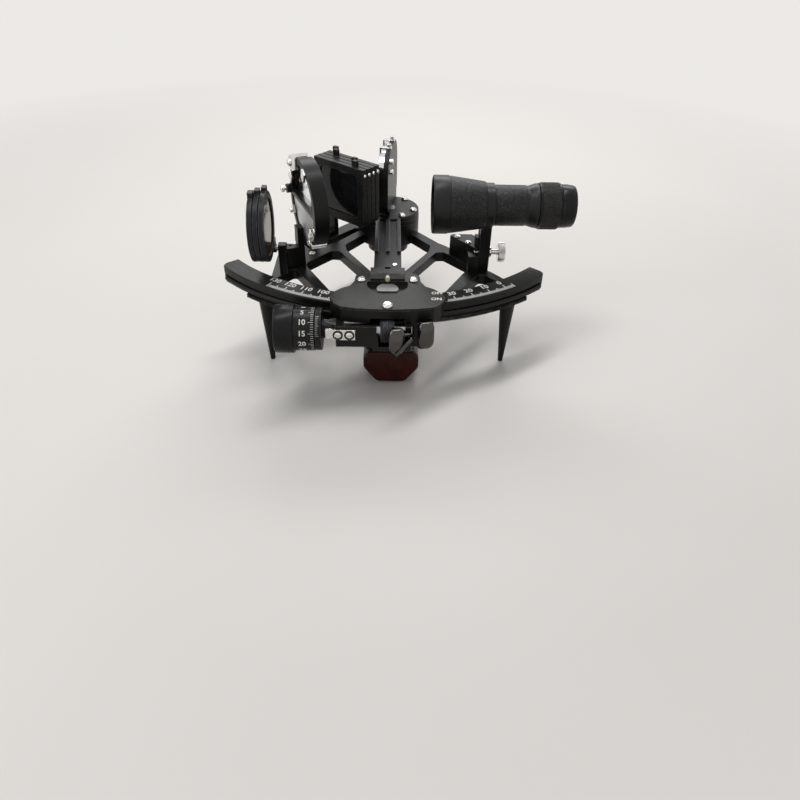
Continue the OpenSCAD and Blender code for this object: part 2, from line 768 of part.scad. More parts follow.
module arm_disc() {
    color(worn_black) translate([0, 0, disc_z]) difference() {
        union() {
            cylinder(r = hub_r - 0.3, h = disc_t - 0.8);
            translate([0, 0, disc_t - 0.8]) cylinder(r1 = hub_r - 0.3, r2 = hub_r - 1.1, h = 0.8);
        }
        translate([0, 0, -1]) cylinder(r = shaft_r + face, h = disc_t + 2);
    }
}

shaft_low = hub_low - 5;
module pivot_shaft() {
    color(nickel) {
        translate([0, 0, shaft_low]) cylinder(r = shaft_r, h = disc_top - shaft_low);
        translate([0, 0, hub_low - 4.6]) cylinder(r = shaft_r + 2, h = 4.3);
    }
}

screw_ring = hub_r - 4;
module arm_screws() {
    color(nickel) {
        for (a = [301, 342, 50, 135]) rotate([0, 0, a]) translate([screw_ring, 0, disc_top])
            rotate([0, 0, 40]) dome_screw(screw_r + 0.4, 2.2);
        translate([5, -104 * k, plate_top]) cylinder(r = 2, h = 0.3);
        for (x = [-18, 18])
            translate([x, -131.5 * k, plate_top + cover_t]) rotate([0, 0, 30]) dome_screw(3.2, 2.2);
        translate([0, -167 * k, plate_top + cover_t]) rotate([0, 0, 10]) dome_screw(3.6, 2.4);
    }
}

// Index mirror: its own frame looks along the mirror's normal, the silvered face on the pivot axis
mirror_front = 4.5;
mirror_back = mirror_front - glass_t - 4;
mirror_low = disc_top + 8;
mirror_top = mirror_low + index_glass_h + 1.5;
module at_index_mirror() {
    rotate([0, 0, glass_turn]) children();
}
module mirror_plan() {
    w = index_glass_w / 2 + 2;
    softened(mirror_arch) translate([-w, mirror_low - 2]) square([2 * w, mirror_top - mirror_low + 2]);
    softened(6) translate([-w, mirror_low - 2]) square([2 * w, 24]);
    translate([-w + 3, disc_top]) square([2 * w - 14, 10]);
}
module index_mirror_frame() {
    w = index_glass_w / 2;
    seat = mirror_front - glass_t;
    color(satin_black) at_index_mirror() {
        difference() {
            translate([mirror_back, 0, 0]) rotate([90, 0, 90])
                linear_extrude(mirror_front - mirror_back) mirror_plan();
            translate([seat, -w - face, mirror_low]) cube([20, 2 * w + 2 * face, index_glass_h + 20]);
            translate([seat, -w - 3, disc_top + 1.5]) cube([20, 2 * w + 6, 5]);
        }
        translate([seat - 0.5, 18, disc_top]) cube([9.5, 2, 1]);
        translate([seat, 18, disc_top]) rotate([90, 0, 0]) linear_extrude(2)
            polygon([[-0.5, 0], [9.5, 0], [-0.5, 7.9]]);
    }
}
module index_mirror_glass() {
    w = index_glass_w / 2;
    color(mirror_grey) at_index_mirror() translate([mirror_front - glass_t, 0, 0]) rotate([90, 0, 90])
        linear_extrude(glass_t) {
            softened(mirror_arch - 2) translate([-w, mirror_low]) square([2 * w, index_glass_h]);
            translate([-w, mirror_low]) square([2 * w, 21]);
        }
}
module index_mirror_clips() {
    w = index_glass_w / 2;
    color(nickel) at_index_mirror() {
        for (y = [-w + mirror_arch, w - mirror_arch]) {
            translate([mirror_back, y - 2.5, mirror_top]) cube([mirror_front - mirror_back + 1.2, 5, 1.2]);
            translate([mirror_front + 0.1, y - 2.5, mirror_top - 5]) cube([1.1, 5, 5.1]);
            translate([mirror_back + 2, y, mirror_top + 1.2]) cylinder(r = 1.7, h = 2.6);
        }
        for (z = [6, 14]) translate([mirror_back, w - 6, mirror_top - z]) rotate([0, -90, 0])
            cylinder(r = 2, h = 3);
    }
}

// Lamp housing over the arc, with its cover and window
w2 = housing_w / 2;
housing_half = [[12, -119 * k], [18, -120 * k], [22.5, -125 * k], [23, -133 * k], [26, -139.5 * k],
    [w2 - 7, -143 * k], [w2 - 1, -150 * k], [w2, -156 * k], [w2 - 3.5, axis_y + 4.5], [w2 - 8, axis_y + 0.5],
    [20, axis_y - 1.6], [8, axis_y - 2.6]];
module housing_plan() {
    n = len(housing_half);
    softened(2) polygon(concat(housing_half, [for (i = [n - 1 : -1 : 0]) [-housing_half[i][0], housing_half[i][1]]]));
}
module window_plan(r) {
    intersection() {
        translate([0, window_y - 3.6]) circle(r = r);
        translate([-30, window_y - 30]) square([60, 30]);
    }
}
lamp_z = plate_top + cover_t + 1.4;
module lamp_housing() {
    color(satin_black) {
        difference() {
            union() {
                translate([0, 0, plate_z]) linear_extrude(arm_t) housing_plan();
                translate([0, 0, skirt_low]) linear_extrude(plate_z - skirt_low + face) difference() {
                    housing_plan();
                    circle(r = skirt_in, $fn = 180);
                }
            }
            translate([0, 0, index_floor]) linear_extrude(arm_t) window_plan(window_r);
            translate([-11.5, axis_y - 20, skirt_low - 1]) cube([23, 40, notch_top - skirt_low + 1]);
            translate([w2 - 5, -154.5 * k, plate_z + 0.8]) cube([8, 5.4, arm_t]);
        }
        translate([hinge_x, hinge_y, web_low - 0.8]) cylinder(r = hinge_pin_r, h = skirt_low - web_low + 1.3);
        translate([hinge_x, hinge_y, web_low - 1.9]) cylinder(r = hinge_pin_r + 1.6, h = 1.6);
    }
}
module housing_cover() {
    color(worn_black) {
        difference() {
            union() {
                translate([0, 0, plate_top]) linear_extrude(cover_t) housing_plan();
                translate([-12, 0, 0]) rotate([90, 0, 90]) linear_extrude(24)
                    polygon([[housing_back - 1, plate_top + 0.5], [window_y + 0.2, plate_top + 0.5],
                        [window_y + 0.2, plate_top + cover_t + 2], [window_y + 5.5, plate_top + rib_h],
                        [housing_back - 1, plate_top + rib_h]]);
            }
            translate([0, 0, plate_top - 1]) linear_extrude(cover_t + 2) window_plan(window_r);
            translate([0, window_y + 5, lamp_z]) rotate([90, 0, 0]) cylinder(r = 1.8, h = 8);
            translate([-2.05, low_to - 8, plate_top - 1]) cube([4.1, 20, rib_h + 3]);
        }
    }
}
module index_plate() {
    color(mirror_grey) difference() {
        translate([0, 0, index_floor]) linear_extrude(1) intersection() {
            translate([0, window_y - 6.5]) circle(r = 7.4);
            translate([-10, window_y - 10.2]) square([20, 20]);
            window_plan(window_r - 0.1);
        }
        translate([-0.15, window_y - 11, index_floor + 0.8]) cube([0.3, 4, 1]);
    }
}
module lamp_bulb() {
    color("#d8d2b0") translate([0, window_y + 4.8, lamp_z]) rotate([90, 0, 0]) cylinder(r = 1.6, h = 5);
}
module lamp_switch() {
    color(worn_black) {
        translate([w2 - 4.7, -153 * k + 0.8, plate_z + 1]) cube([5.1, 2.4, arm_t - 1.3]);
        translate([w2 + 0.3, -153 * k, plate_z + 1]) cube([2, 4, arm_t - 1.3]);
    }
}

module tongue_plan(w, h) {
    translate([0, -h + w / 2]) circle(r = w / 2);
    translate([-w / 2, -h + w / 2]) square([w, h - w / 2]);
}
lever_w = 9.9;
lever_x = hinge_x + 1.6;
lever_y = hinge_y - boss_r - 0.9;
module fixed_lever() {
    color(chrome) {
        translate([lever_x - lever_w / 2 + 0.5, lever_y - 2.6, skirt_low + 0.7]) cube([lever_w - 1, 4.9, 2.6]);
        translate([lever_x, lever_y - 0.6, skirt_low + 3.6]) rotate([-10, 0, 0]) rotate([90, 0, 0])
            linear_extrude(3) tongue_plan(lever_w, 19);
    }
}

// Swing carriage: it carries the worm and turns out on the hinge pin
module on_worm_axis(x) {
    translate([x, axis_y, axis_z]) rotate([0, 90, 0]) children();
}
module swing_carriage() {
    wall_y = carriage_in - carriage_out;
    color(satin_black) difference() {
        union() {
            translate([-7, carriage_out, web_low]) cube([wall_r + 11, wall_y, web_t]);
            translate([wall_l, carriage_out, block_low]) cube([5, wall_y, wall_top - block_low]);
            translate([-9.5, carriage_out, web_low]) cube([3.5, wall_y, axis_z - 3 - web_low]);
            translate([wall_r, carriage_out, web_low]) cube([4, wall_y, wall_top - web_low]);
            translate([wall_l, carriage_out, block_low]) cube([27, wall_y, axis_z - 3 - block_low]);
            translate([wall_l, carriage_out, block_low]) cube([27, 2, wall_top - block_low]);
            translate([hinge_x, hinge_y, web_low]) cylinder(r = boss_r, h = wall_top - web_low);
            translate([wall_r + 2, hinge_y - 4, web_low]) cube([hinge_x - wall_r - 2, 8, wall_top - web_low]);
            on_worm_axis(vernier_x) cylinder(r = worm_shaft_r + 2.2, h = wall_l - vernier_x + 1);
        }
        on_worm_axis(vernier_x - 2) cylinder(r = worm_shaft_r + 0.05, h = wall_r + 8 - vernier_x);
        on_worm_axis(wall_l + 5) cylinder(r = worm_shaft_r + 0.6, h = wall_r - wall_l - 5);
        on_worm_axis(-worm_len / 2 - 1.5) cylinder(r = worm_r + 0.8, h = worm_len + 3);
        translate([hinge_x, hinge_y, web_low - 1]) cylinder(r = hinge_pin_r + 0.05, h = wall_top - web_low + 2);
    }
}

plate_y = carriage_out;
module bearing_plate() {
    color(nickel) {
        translate([wall_l - 2, plate_y - 2, axis_z - 3]) cube([15, 2, 7.6]);
        for (x = [wall_l + 1.7, wall_l + 9.3])
            translate([x, plate_y - 2, axis_z + 0.8]) rotate([90, 0, 0]) dome_screw(2.4, 1.3);
        translate([wall_l - 6.4, plate_y - 2, axis_z - 2]) cube([4.4, 2, 7]);
    }
}

module vernier_ring() {
    color(satin_black) difference() {
        on_worm_axis(vernier_x - vernier_t) cylinder(r = dial_r - 0.4, h = vernier_t);
        on_worm_axis(vernier_x - vernier_t - 1) cylinder(r = worm_shaft_r + 0.05, h = vernier_t + 2);
    }
}

module moving_lever() {
    x = wall_r - 5.2;
    y = axis_y - worm_r - 0.8;
    color(chrome) {
        translate([wall_r - 3, y - 2, axis_z - 3]) cube([7, carriage_out - y + 2, 7]);
        translate([x, y - 0.6, skirt_low + 0.6]) rotate([-10, 0, 0]) rotate([90, 0, 0])
            linear_extrude(3) tongue_plan(lever_w, 17);
        translate([x - 1, y - 3.6, axis_z - 9]) rotate([0, -52, 0]) translate([0, -6, -1])
            cube([17, 7, 2]);
    }
}

// Worm: a thread with straight flanks, its crest meeting a gap of the rack at the middle
function thread_r(s) = s < thread_tip_w / 2 ? worm_r : max(thread_root, worm_r - (s - thread_tip_w / 2) / flank);
thread_steps = concat([for (i = [0 : 8]) -120 + 30 * i], [150, 180, 210]);
module worm() {
    turns = worm_len / lead;
    color(nickel) {
        on_worm_axis(-worm_len / 2) linear_extrude(worm_len, twist = -360 * turns, slices = round(18 * turns),
            segments = len(thread_steps))
            rotate(90 - 180 * turns) polygon([for (a = thread_steps) let (s = min(abs(a), 360 - abs(a)) / 360 * lead,
                r = thread_r(s)) [r * cos(a), r * sin(a)]]);
        on_worm_axis(knob_x - knob_len - 1) cylinder(r = worm_shaft_r, h = knob_len + 1 - knob_x - worm_len / 2);
        on_worm_axis(worm_len / 2) cylinder(r = worm_shaft_r, h = wall_r + 4.5 - worm_len / 2);
    }
}

module micrometer_drum() {
    n = 40;
    color(satin_black) difference() {
        union() {
            on_worm_axis(knob_x) cylinder(r = dial_r, h = dial_len);
            on_worm_axis(knob_x - knob_len) linear_extrude(knob_len + 0.01)
                polygon([for (i = [0 : 2 * n - 1]) let (r = knob_r - 0.7 * (i % 2), a = 180 * i / n)
                    [r * cos(a), r * sin(a)]]);
            on_worm_axis(knob_x - 1) cylinder(r = knob_r, h = 1.2);
        }
        on_worm_axis(knob_x - knob_len - 2) cylinder(r = worm_shaft_r + face, h = knob_len + dial_len + 4);
        on_worm_axis(knob_x - knob_len - 1) cylinder(r = knob_r - 4, h = 2);
    }
}

frame();
toothed_rack();
leg_left();
leg_right();
leg_rear();
pivot_bush();
handle_grip();
handle_end_cap();
handle_brackets();
frame_screws();
horizon_mirror_base();
horizon_mirror_frame();
horizon_mirror_glass();
horizon_mirror_backing();
horizon_mirror_clips();
horizon_shade_bracket();
horizon_shade_pin();
index_shade_bracket();
index_shade_pin();
telescope_stand();
horizon_shade_frame_1();
horizon_shade_frame_2();
horizon_shade_frame_3();
horizon_shade_glass_1();
horizon_shade_glass_2();
horizon_shade_glass_3();
index_shade_frame_1();
index_shade_frame_2();
index_shade_frame_3();
index_shade_frame_4();
index_shade_glass_1();
index_shade_glass_2();
index_shade_glass_3();
index_shade_glass_4();
rising_piece();
telescope_tube();
objective_lens();
focus_ring();
eyepiece_cup();
eyepiece_lens();
thumb_screw();
index_arm();
arm_disc();
arm_screws();
pivot_shaft();
index_mirror_frame();
index_mirror_glass();
index_mirror_clips();
lamp_housing();
housing_cover();
index_plate();
lamp_bulb();
fixed_lever();
swing_carriage();
moving_lever();
bearing_plate();
vernier_ring();
worm();
micrometer_drum();
lamp_switch();
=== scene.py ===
import json
import math
import bpy
import bmesh
from mathutils import Vector, Matrix


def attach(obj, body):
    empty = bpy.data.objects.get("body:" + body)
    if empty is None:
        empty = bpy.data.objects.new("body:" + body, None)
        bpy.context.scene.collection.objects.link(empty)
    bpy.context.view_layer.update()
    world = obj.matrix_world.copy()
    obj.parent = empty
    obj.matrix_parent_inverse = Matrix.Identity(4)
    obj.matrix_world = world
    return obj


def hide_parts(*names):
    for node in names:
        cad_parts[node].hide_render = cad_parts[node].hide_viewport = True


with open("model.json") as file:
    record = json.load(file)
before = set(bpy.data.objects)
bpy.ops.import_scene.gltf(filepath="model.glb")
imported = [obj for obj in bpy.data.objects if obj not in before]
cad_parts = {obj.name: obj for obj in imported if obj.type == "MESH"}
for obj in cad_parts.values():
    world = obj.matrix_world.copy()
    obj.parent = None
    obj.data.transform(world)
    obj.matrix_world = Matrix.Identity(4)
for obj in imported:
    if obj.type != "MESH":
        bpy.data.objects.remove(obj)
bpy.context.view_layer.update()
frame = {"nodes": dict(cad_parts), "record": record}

NODES = frame["nodes"]
BODIES = frame["record"]["behaviour"]["bodies"]
BODY_OF = {n: b for b, names in BODIES.items() for n in names}
MM = 0.001
MICRON = 0.000001
FULL_TURN = 2 * math.pi

# Heights and places that part.scad gives, in millimetres
DECK = 70.0
TELE_Y = -75.0
TELE_Z = 107.5
WORM_Y = -168.5
WORM_Z = 58.0
THUMB = (-73.0, 69.7)
MIRROR_X = -57.0
MIRROR_Z = TELE_Z - 0.5


# Node helpers
def material(name):
    mat = bpy.data.materials.new(name)
    mat.use_nodes = True
    tree = mat.node_tree
    return mat, tree, tree.nodes["Principled BSDF"]


def node(tree, kind, **values):
    made = tree.nodes.new(kind)
    for key, value in values.items():
        setattr(made, key, value)
    return made


def wire(tree, a, b):
    tree.links.new(a, b)


def place(tree):
    return node(tree, "ShaderNodeTexCoord").outputs["Object"]


def noise(tree, scale, detail=4.0, rough=0.55, stretch=None, distortion=0.0):
    made = node(tree, "ShaderNodeTexNoise")
    made.inputs["Scale"].default_value = scale
    made.inputs["Detail"].default_value = detail
    made.inputs["Roughness"].default_value = rough
    made.inputs["Distortion"].default_value = distortion
    at = place(tree)
    if stretch:
        mapping = node(tree, "ShaderNodeMapping")
        mapping.inputs["Scale"].default_value = stretch
        wire(tree, at, mapping.inputs["Vector"])
        at = mapping.outputs["Vector"]
    wire(tree, at, made.inputs["Vector"])
    return made.outputs["Fac"]


def spread(tree, fac, low, high, from_low=0.3, from_high=0.7):
    made = node(tree, "ShaderNodeMapRange")
    made.inputs["From Min"].default_value = from_low
    made.inputs["From Max"].default_value = from_high
    made.inputs["To Min"].default_value = low
    made.inputs["To Max"].default_value = high
    wire(tree, fac, made.inputs["Value"])
    return made.outputs["Result"]


def ramp(tree, fac, stops):
    made = node(tree, "ShaderNodeValToRGB")
    line = made.color_ramp
    while len(line.elements) < len(stops):
        line.elements.new(0.5)
    for element, (where, colour) in zip(line.elements, stops):
        element.position = where
        element.color = (*colour, 1.0)
    wire(tree, fac, made.inputs["Fac"])
    return made.outputs["Color"]


def mixed(tree, fac, a, b):
    made = node(tree, "ShaderNodeMix", data_type="RGBA")
    wire(tree, fac, made.inputs["Factor"])
    for value, socket in ((a, made.inputs[6]), (b, made.inputs[7])):
        if isinstance(value, tuple):
            socket.default_value = (*value, 1.0)
        else:
            wire(tree, value, socket)
    return made.outputs[2]


def bump(tree, shader, height, strength, distance):
    made = node(tree, "ShaderNodeBump")
    made.inputs["Strength"].default_value = strength
    made.inputs["Distance"].default_value = distance
    wire(tree, height, made.inputs["Height"])
    wire(tree, made.outputs["Normal"], shader.inputs["Normal"])


def edge_mask(tree, radius=0.5 * MM, low=0.004, high=0.06):
    """1 on a corner, raised or hollow alike, 0 on a flat face: low and high are how far the face leans off
    the flat.
    """
    soft = node(tree, "ShaderNodeBevel", samples=6)
    soft.inputs["Radius"].default_value = radius
    flat = node(tree, "ShaderNodeNewGeometry")
    dot = node(tree, "ShaderNodeVectorMath", operation="DOT_PRODUCT")
    wire(tree, soft.outputs["Normal"], dot.inputs[0])
    wire(tree, flat.outputs["True Normal"], dot.inputs[1])
    return spread(tree, dot.outputs["Value"], 1.0, 0.0, 1 - high, 1 - low)


# Finishes
def enamel(name, dark, light, rough_low, rough_high, grain=0.35, worn_and_highlit=(0.24, 0.23, 0.21), wear_and_highlight=0.7):
    """Satin black enamel: a fine orange peel, dusty patches, and a lighter tone on its corners that is
    partly rubbed wear and partly a painted edge highlight.
    """
    mat, tree, shader = material(name)
    patches = noise(tree, 38, 5, 0.6)
    fine = noise(tree, 2600, 3, 0.6)
    dust = noise(tree, 420, 6, 0.7)
    base = ramp(tree, patches, [(0.3, dark), (0.72, light)])
    # Corners, hollow ones too, take the lighter colour where the dust noise allows: rubbed wear and a
    # painted edge highlight in one.
    edge = edge_mask(tree)
    broken = spread(tree, dust, 0.0, wear_and_highlight, 0.35, 0.6)
    both = node(tree, "ShaderNodeMath", operation="MULTIPLY")
    wire(tree, edge, both.inputs[0])
    wire(tree, broken, both.inputs[1])
    wire(tree, mixed(tree, both.outputs[0], base, worn_and_highlit), shader.inputs["Base Color"])
    wire(tree, spread(tree, dust, rough_low, rough_high), shader.inputs["Roughness"])
    shader.inputs["Specular IOR Level"].default_value = 0.18
    bump(tree, shader, fine, grain, 60 * MICRON)
    return mat


def polished(name, colour, shade, rough_low, rough_high, scratch=0.25, stretch=(30, 30, 900)):
    """Plated metal with fine turning marks and small stains."""
    mat, tree, shader = material(name)
    stains = noise(tree, 260, 6, 0.65)
    marks = noise(tree, 6, 3, 0.6, stretch=stretch)
    wire(tree, ramp(tree, stains, [(0.32, shade), (0.6, colour)]), shader.inputs["Base Color"])
    wire(tree, spread(tree, marks, rough_low, rough_high, 0.25, 0.75), shader.inputs["Roughness"])
    shader.inputs["Metallic"].default_value = 1.0
    bump(tree, shader, marks, scratch, 30 * MICRON)
    return mat


def leather_black(name, sections):
    """Black enamel with a pebbled covering between pairs of places along X, in millimetres; the pebbles'
    tops carry a painted sheen and their creases painted shade.
    """
    mat, tree, shader = material(name)
    split = node(tree, "ShaderNodeSeparateXYZ")
    wire(tree, place(tree), split.inputs[0])
    mask = None
    for low, high in sections:
        inside = node(tree, "ShaderNodeMath", operation="COMPARE")
        wire(tree, split.outputs["X"], inside.inputs[0])
        inside.inputs[1].default_value = (low + high) / 2 * MM
        inside.inputs[2].default_value = (high - low) / 2 * MM
        if mask is None:
            mask = inside.outputs[0]
        else:
            both = node(tree, "ShaderNodeMath", operation="MAXIMUM")
            wire(tree, mask, both.inputs[0])
            wire(tree, inside.outputs[0], both.inputs[1])
            mask = both.outputs[0]
    pebble = node(tree, "ShaderNodeTexVoronoi", feature="SMOOTH_F1")
    pebble.inputs["Scale"].default_value = 1150
    pebble.inputs["Smoothness"].default_value = 0.7
    wire(tree, place(tree), pebble.inputs["Vector"])
    crease = noise(tree, 520, 5, 0.6, distortion=0.6)
    fine = noise(tree, 2600, 3, 0.6)
    patches = noise(tree, 45, 5, 0.6)
    hide = node(tree, "ShaderNodeMath", operation="MULTIPLY_ADD")
    wire(tree, crease, hide.inputs[0])
    hide.inputs[1].default_value = 0.9
    wire(tree, pebble.outputs["Distance"], hide.inputs[2])
    height = node(tree, "ShaderNodeMix", data_type="FLOAT")
    wire(tree, mask, height.inputs[0])
    wire(tree, spread(tree, fine, 0.0, 0.12, 0, 1), height.inputs[2])
    wire(tree, hide.outputs[0], height.inputs[3])
    base = ramp(tree, patches, [(0.3, (0.006, 0.006, 0.006)), (0.7, (0.012, 0.012, 0.012))])
    # Pebble tops painted lighter as a painted sheen, the creases between them painted darker as painted
    # shade.
    sheen_tops_shaded_creases = ramp(tree, hide.outputs[0], [(0.45, (0.042, 0.042, 0.041)), (1.0, (0.004, 0.004, 0.004))])
    wire(tree, mixed(tree, mask, base, sheen_tops_shaded_creases), shader.inputs["Base Color"])
    rough = node(tree, "ShaderNodeMix", data_type="FLOAT")
    wire(tree, mask, rough.inputs[0])
    wire(tree, spread(tree, patches, 0.30, 0.40), rough.inputs[2])
    wire(tree, spread(tree, crease, 0.36, 0.50), rough.inputs[3])
    wire(tree, rough.outputs[0], shader.inputs["Roughness"])
    shader.inputs["Specular IOR Level"].default_value = 0.26
    bump(tree, shader, height.outputs[0], 0.7, 250 * MICRON)
    return mat


def bakelite(name):
    mat, tree, shader = material(name)
    swirl = noise(tree, 46, 6, 0.62, distortion=1.6)
    specks = noise(tree, 900, 3, 0.5)
    haze = noise(tree, 160, 5, 0.6)
    base = ramp(tree, swirl, [(0.30, (0.026, 0.0035, 0.002)), (0.52, (0.042, 0.005, 0.003)),
                              (0.74, (0.062, 0.009, 0.004))])
    dots = spread(tree, specks, 0.0, 0.25, 0.62, 0.72)
    wire(tree, mixed(tree, dots, base, (0.02, 0.004, 0.003)), shader.inputs["Base Color"])
    wire(tree, spread(tree, haze, 0.12, 0.2), shader.inputs["Roughness"])
    shader.inputs["Specular IOR Level"].default_value = 0.2
    bump(tree, shader, haze, 0.12, 100 * MICRON)
    return mat


def glass(name, colour, rough=0.03):
    """A filter or lens: tinted glass with faint smears in its polish."""
    mat, tree, shader = material(name)
    smear = noise(tree, 90, 5, 0.6, distortion=0.8)
    dark = tuple(c * 0.86 for c in colour)
    wire(tree, ramp(tree, smear, [(0.35, dark), (0.65, colour)]), shader.inputs["Base Color"])
    wire(tree, spread(tree, smear, rough, rough + 0.05), shader.inputs["Roughness"])
    shader.inputs["Transmission Weight"].default_value = 1.0
    shader.inputs["IOR"].default_value = 1.5
    return mat


def dark_glass(name, dark, light, rough=0.05):
    """An opaque coloured body under a polished face: a shade glass too deep to see through at this light; on
    the lenses the dark body is painted shade for the tube behind them.
    """
    mat, tree, shader = material(name)
    cloud = noise(tree, 60, 4, 0.55, distortion=0.6)
    wire(tree, ramp(tree, cloud, [(0.3, dark), (0.75, light)]), shader.inputs["Base Color"])
    wire(tree, spread(tree, cloud, rough, rough + 0.05), shader.inputs["Roughness"])
    shader.inputs["Specular IOR Level"].default_value = 0.3
    return mat


def paint(name, colour, shade, rough=0.5, scale=300):
    mat, tree, shader = material(name)
    soil = noise(tree, scale, 6, 0.65)
    wire(tree, ramp(tree, soil, [(0.34, shade), (0.6, colour)]), shader.inputs["Base Color"])
    wire(tree, spread(tree, soil, rough - 0.06, rough + 0.1), shader.inputs["Roughness"])
    bump(tree, shader, soil, 0.12, 50 * MICRON)
    return mat


CAST = enamel("cast_black", (0.006, 0.006, 0.006), (0.012, 0.0115, 0.011), 0.30, 0.42)
TURNED = enamel("turned_black", (0.005, 0.005, 0.005), (0.009, 0.009, 0.009), 0.22, 0.32, grain=0.2)
PLATE = enamel("plate_black", (0.014, 0.013, 0.012), (0.021, 0.020, 0.018), 0.34, 0.46, grain=0.3)
KNURL = enamel("knurled_black", (0.004, 0.004, 0.004), (0.008, 0.008, 0.008), 0.24, 0.36,
               grain=0.2, wear_and_highlight=0.12)
SHADE_RIM = enamel("shade_rim_black", (0.010, 0.011, 0.013), (0.026, 0.028, 0.032), 0.28, 0.40, wear_and_highlight=0.9)
LEATHER = leather_black("covered_tube", [(44.5, 69.8), (77.8, 99.6)])
NICKEL = polished("nickel_plate", (0.74, 0.73, 0.71), (0.62, 0.60, 0.57), 0.14, 0.24, scratch=0.12)
CHROME = polished("smoked_chrome", (0.062, 0.057, 0.052), (0.050, 0.046, 0.042), 0.05, 0.10, scratch=0.03)
coat = CHROME.node_tree.nodes["Principled BSDF"].inputs
coat["Coat Weight"].default_value = 0.5
coat["Coat Roughness"].default_value = 0.04
BRASS = polished("bush_brass", (0.62, 0.47, 0.22), (0.40, 0.28, 0.12), 0.22, 0.38)
STEEL = polished("worm_steel", (0.46, 0.46, 0.47), (0.30, 0.30, 0.31), 0.22, 0.36, stretch=(900, 30, 30))
# The rack's steel is darkened to near black: painted shade for its place under the limb's lip.
RACK = polished("rack_steel_painted_dark", (0.085, 0.083, 0.08), (0.035, 0.034, 0.033), 0.26, 0.42)
GRIP = bakelite("brown_bakelite")
WHITE = paint("engraved_white", (0.90, 0.90, 0.88), (0.70, 0.70, 0.68), 0.5, 700)
BACKING = paint("mirror_backing", (0.80, 0.81, 0.82), (0.71, 0.72, 0.73), 0.42, 120)
INDEX_GREY = paint("index_grey", (0.26, 0.26, 0.255), (0.20, 0.20, 0.195), 0.4, 200)
SILVER = polished("silvered_glass", (0.70, 0.72, 0.73), (0.62, 0.64, 0.65), 0.02, 0.05, scratch=0.0)
CLEAR = glass("clear_glass", (0.93, 0.97, 0.98))
# The lenses get an opaque dark blue body: painted shade for the dark inside of the tube seen through the
# glass.
LENS = dark_glass("lens_dark_painted_shade", (0.02, 0.022, 0.05), (0.05, 0.045, 0.09), 0.03)
AMBER = dark_glass("amber_filter", (0.055, 0.026, 0.006), (0.09, 0.045, 0.012))
GREEN = dark_glass("green_filter", (0.006, 0.030, 0.014), (0.012, 0.05, 0.024))
BLUE = dark_glass("blue_filter", (0.008, 0.013, 0.024), (0.018, 0.026, 0.045))
NIGHT = dark_glass("neutral_filter", (0.006, 0.006, 0.007), (0.016, 0.016, 0.018))
BULB = paint("lamp_glass", (0.80, 0.74, 0.55), (0.66, 0.60, 0.42), 0.2, 300)


# Mesh helpers, in millimetres: a crossed knurl's step along its axis, and how soon it is at full depth
KNURL_STEP = 0.3
KNURL_FADE = 0.4
# Angles in degrees: faces nearer than the first are one plane, than the second one smooth face
FLAT_ANGLE = 0.6
CORNER_ANGLE = 38
ROUND_ANGLE = 60


def link(name, mesh, mat, body):
    obj = bpy.data.objects.new(name, mesh)
    bpy.context.scene.collection.objects.link(obj)
    obj.data.materials.clear()
    obj.data.materials.append(mat)
    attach(obj, body)
    return obj


def smooth(mesh, angle):
    for face in mesh.polygons:
        face.use_smooth = True
    mesh.set_sharp_from_angle(angle=math.radians(angle))


def applied(obj):
    """The object's mesh with its modifiers applied."""
    bpy.context.view_layer.update()
    graph = bpy.context.evaluated_depsgraph_get()
    mesh = bpy.data.meshes.new_from_object(obj.evaluated_get(graph), depsgraph=graph)
    obj.modifiers.clear()
    obj.data = mesh
    return obj


def machined(name, mat, width=0.25, segments=2, angle=32):
    """The CAD node's own shape with its corners broken, as they are on a finished part."""
    obj = link(name + "_finished", NODES[name].data.copy(), mat, BODY_OF[name])
    weld = obj.modifiers.new("weld", "WELD")
    weld.merge_threshold = 2 * MICRON
    planar = obj.modifiers.new("planar", "DECIMATE")
    planar.decimate_type = "DISSOLVE"
    planar.angle_limit = math.radians(FLAT_ANGLE)
    thirds = obj.modifiers.new("thirds", "TRIANGULATE")
    thirds.min_vertices = 5
    edge = obj.modifiers.new("edge", "BEVEL")
    edge.width = width * MM
    edge.segments = segments
    edge.limit_method = "ANGLE"
    edge.angle_limit = math.radians(angle)
    edge.use_clamp_overlap = False
    edge.harden_normals = False
    edge.miter_outer = "MITER_ARC"
    for face in obj.data.polygons:
        face.use_smooth = True
    applied(obj)
    smooth(obj.data, CORNER_ANGLE)
    even = obj.modifiers.new("even", "WEIGHTED_NORMAL")
    even.keep_sharp = True
    even.weight = 80
    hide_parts(name)
    return obj


def ring_of(bm, steps, spot):
    """One ring of points, spot(turn) giving each place in millimetres for a turn in radians."""
    return [bm.verts.new(Vector(spot(FULL_TURN * i / steps)) * MM) for i in range(steps)]


def skin(bm, rings, looped=False):
    """Faces from each ring of points to the next, and from the last to the first where looped."""
    steps = len(rings[0])
    for one, two in zip(rings, rings[1:] + rings[:1] if looped else rings[1:]):
        for i in range(steps):
            j = (i + 1) % steps
            bm.faces.new((one[i], one[j], two[j], two[i]))


def mesh_of(bm, name, angle=None, outward=True):
    """The mesh of bm, its faces turned outward and smooth up to angle."""
    if outward:
        bmesh.ops.recalc_face_normals(bm, faces=bm.faces)
    mesh = bpy.data.meshes.new(name)
    bm.to_mesh(mesh)
    bm.free()
    if angle is not None:
        smooth(mesh, angle)
    return mesh


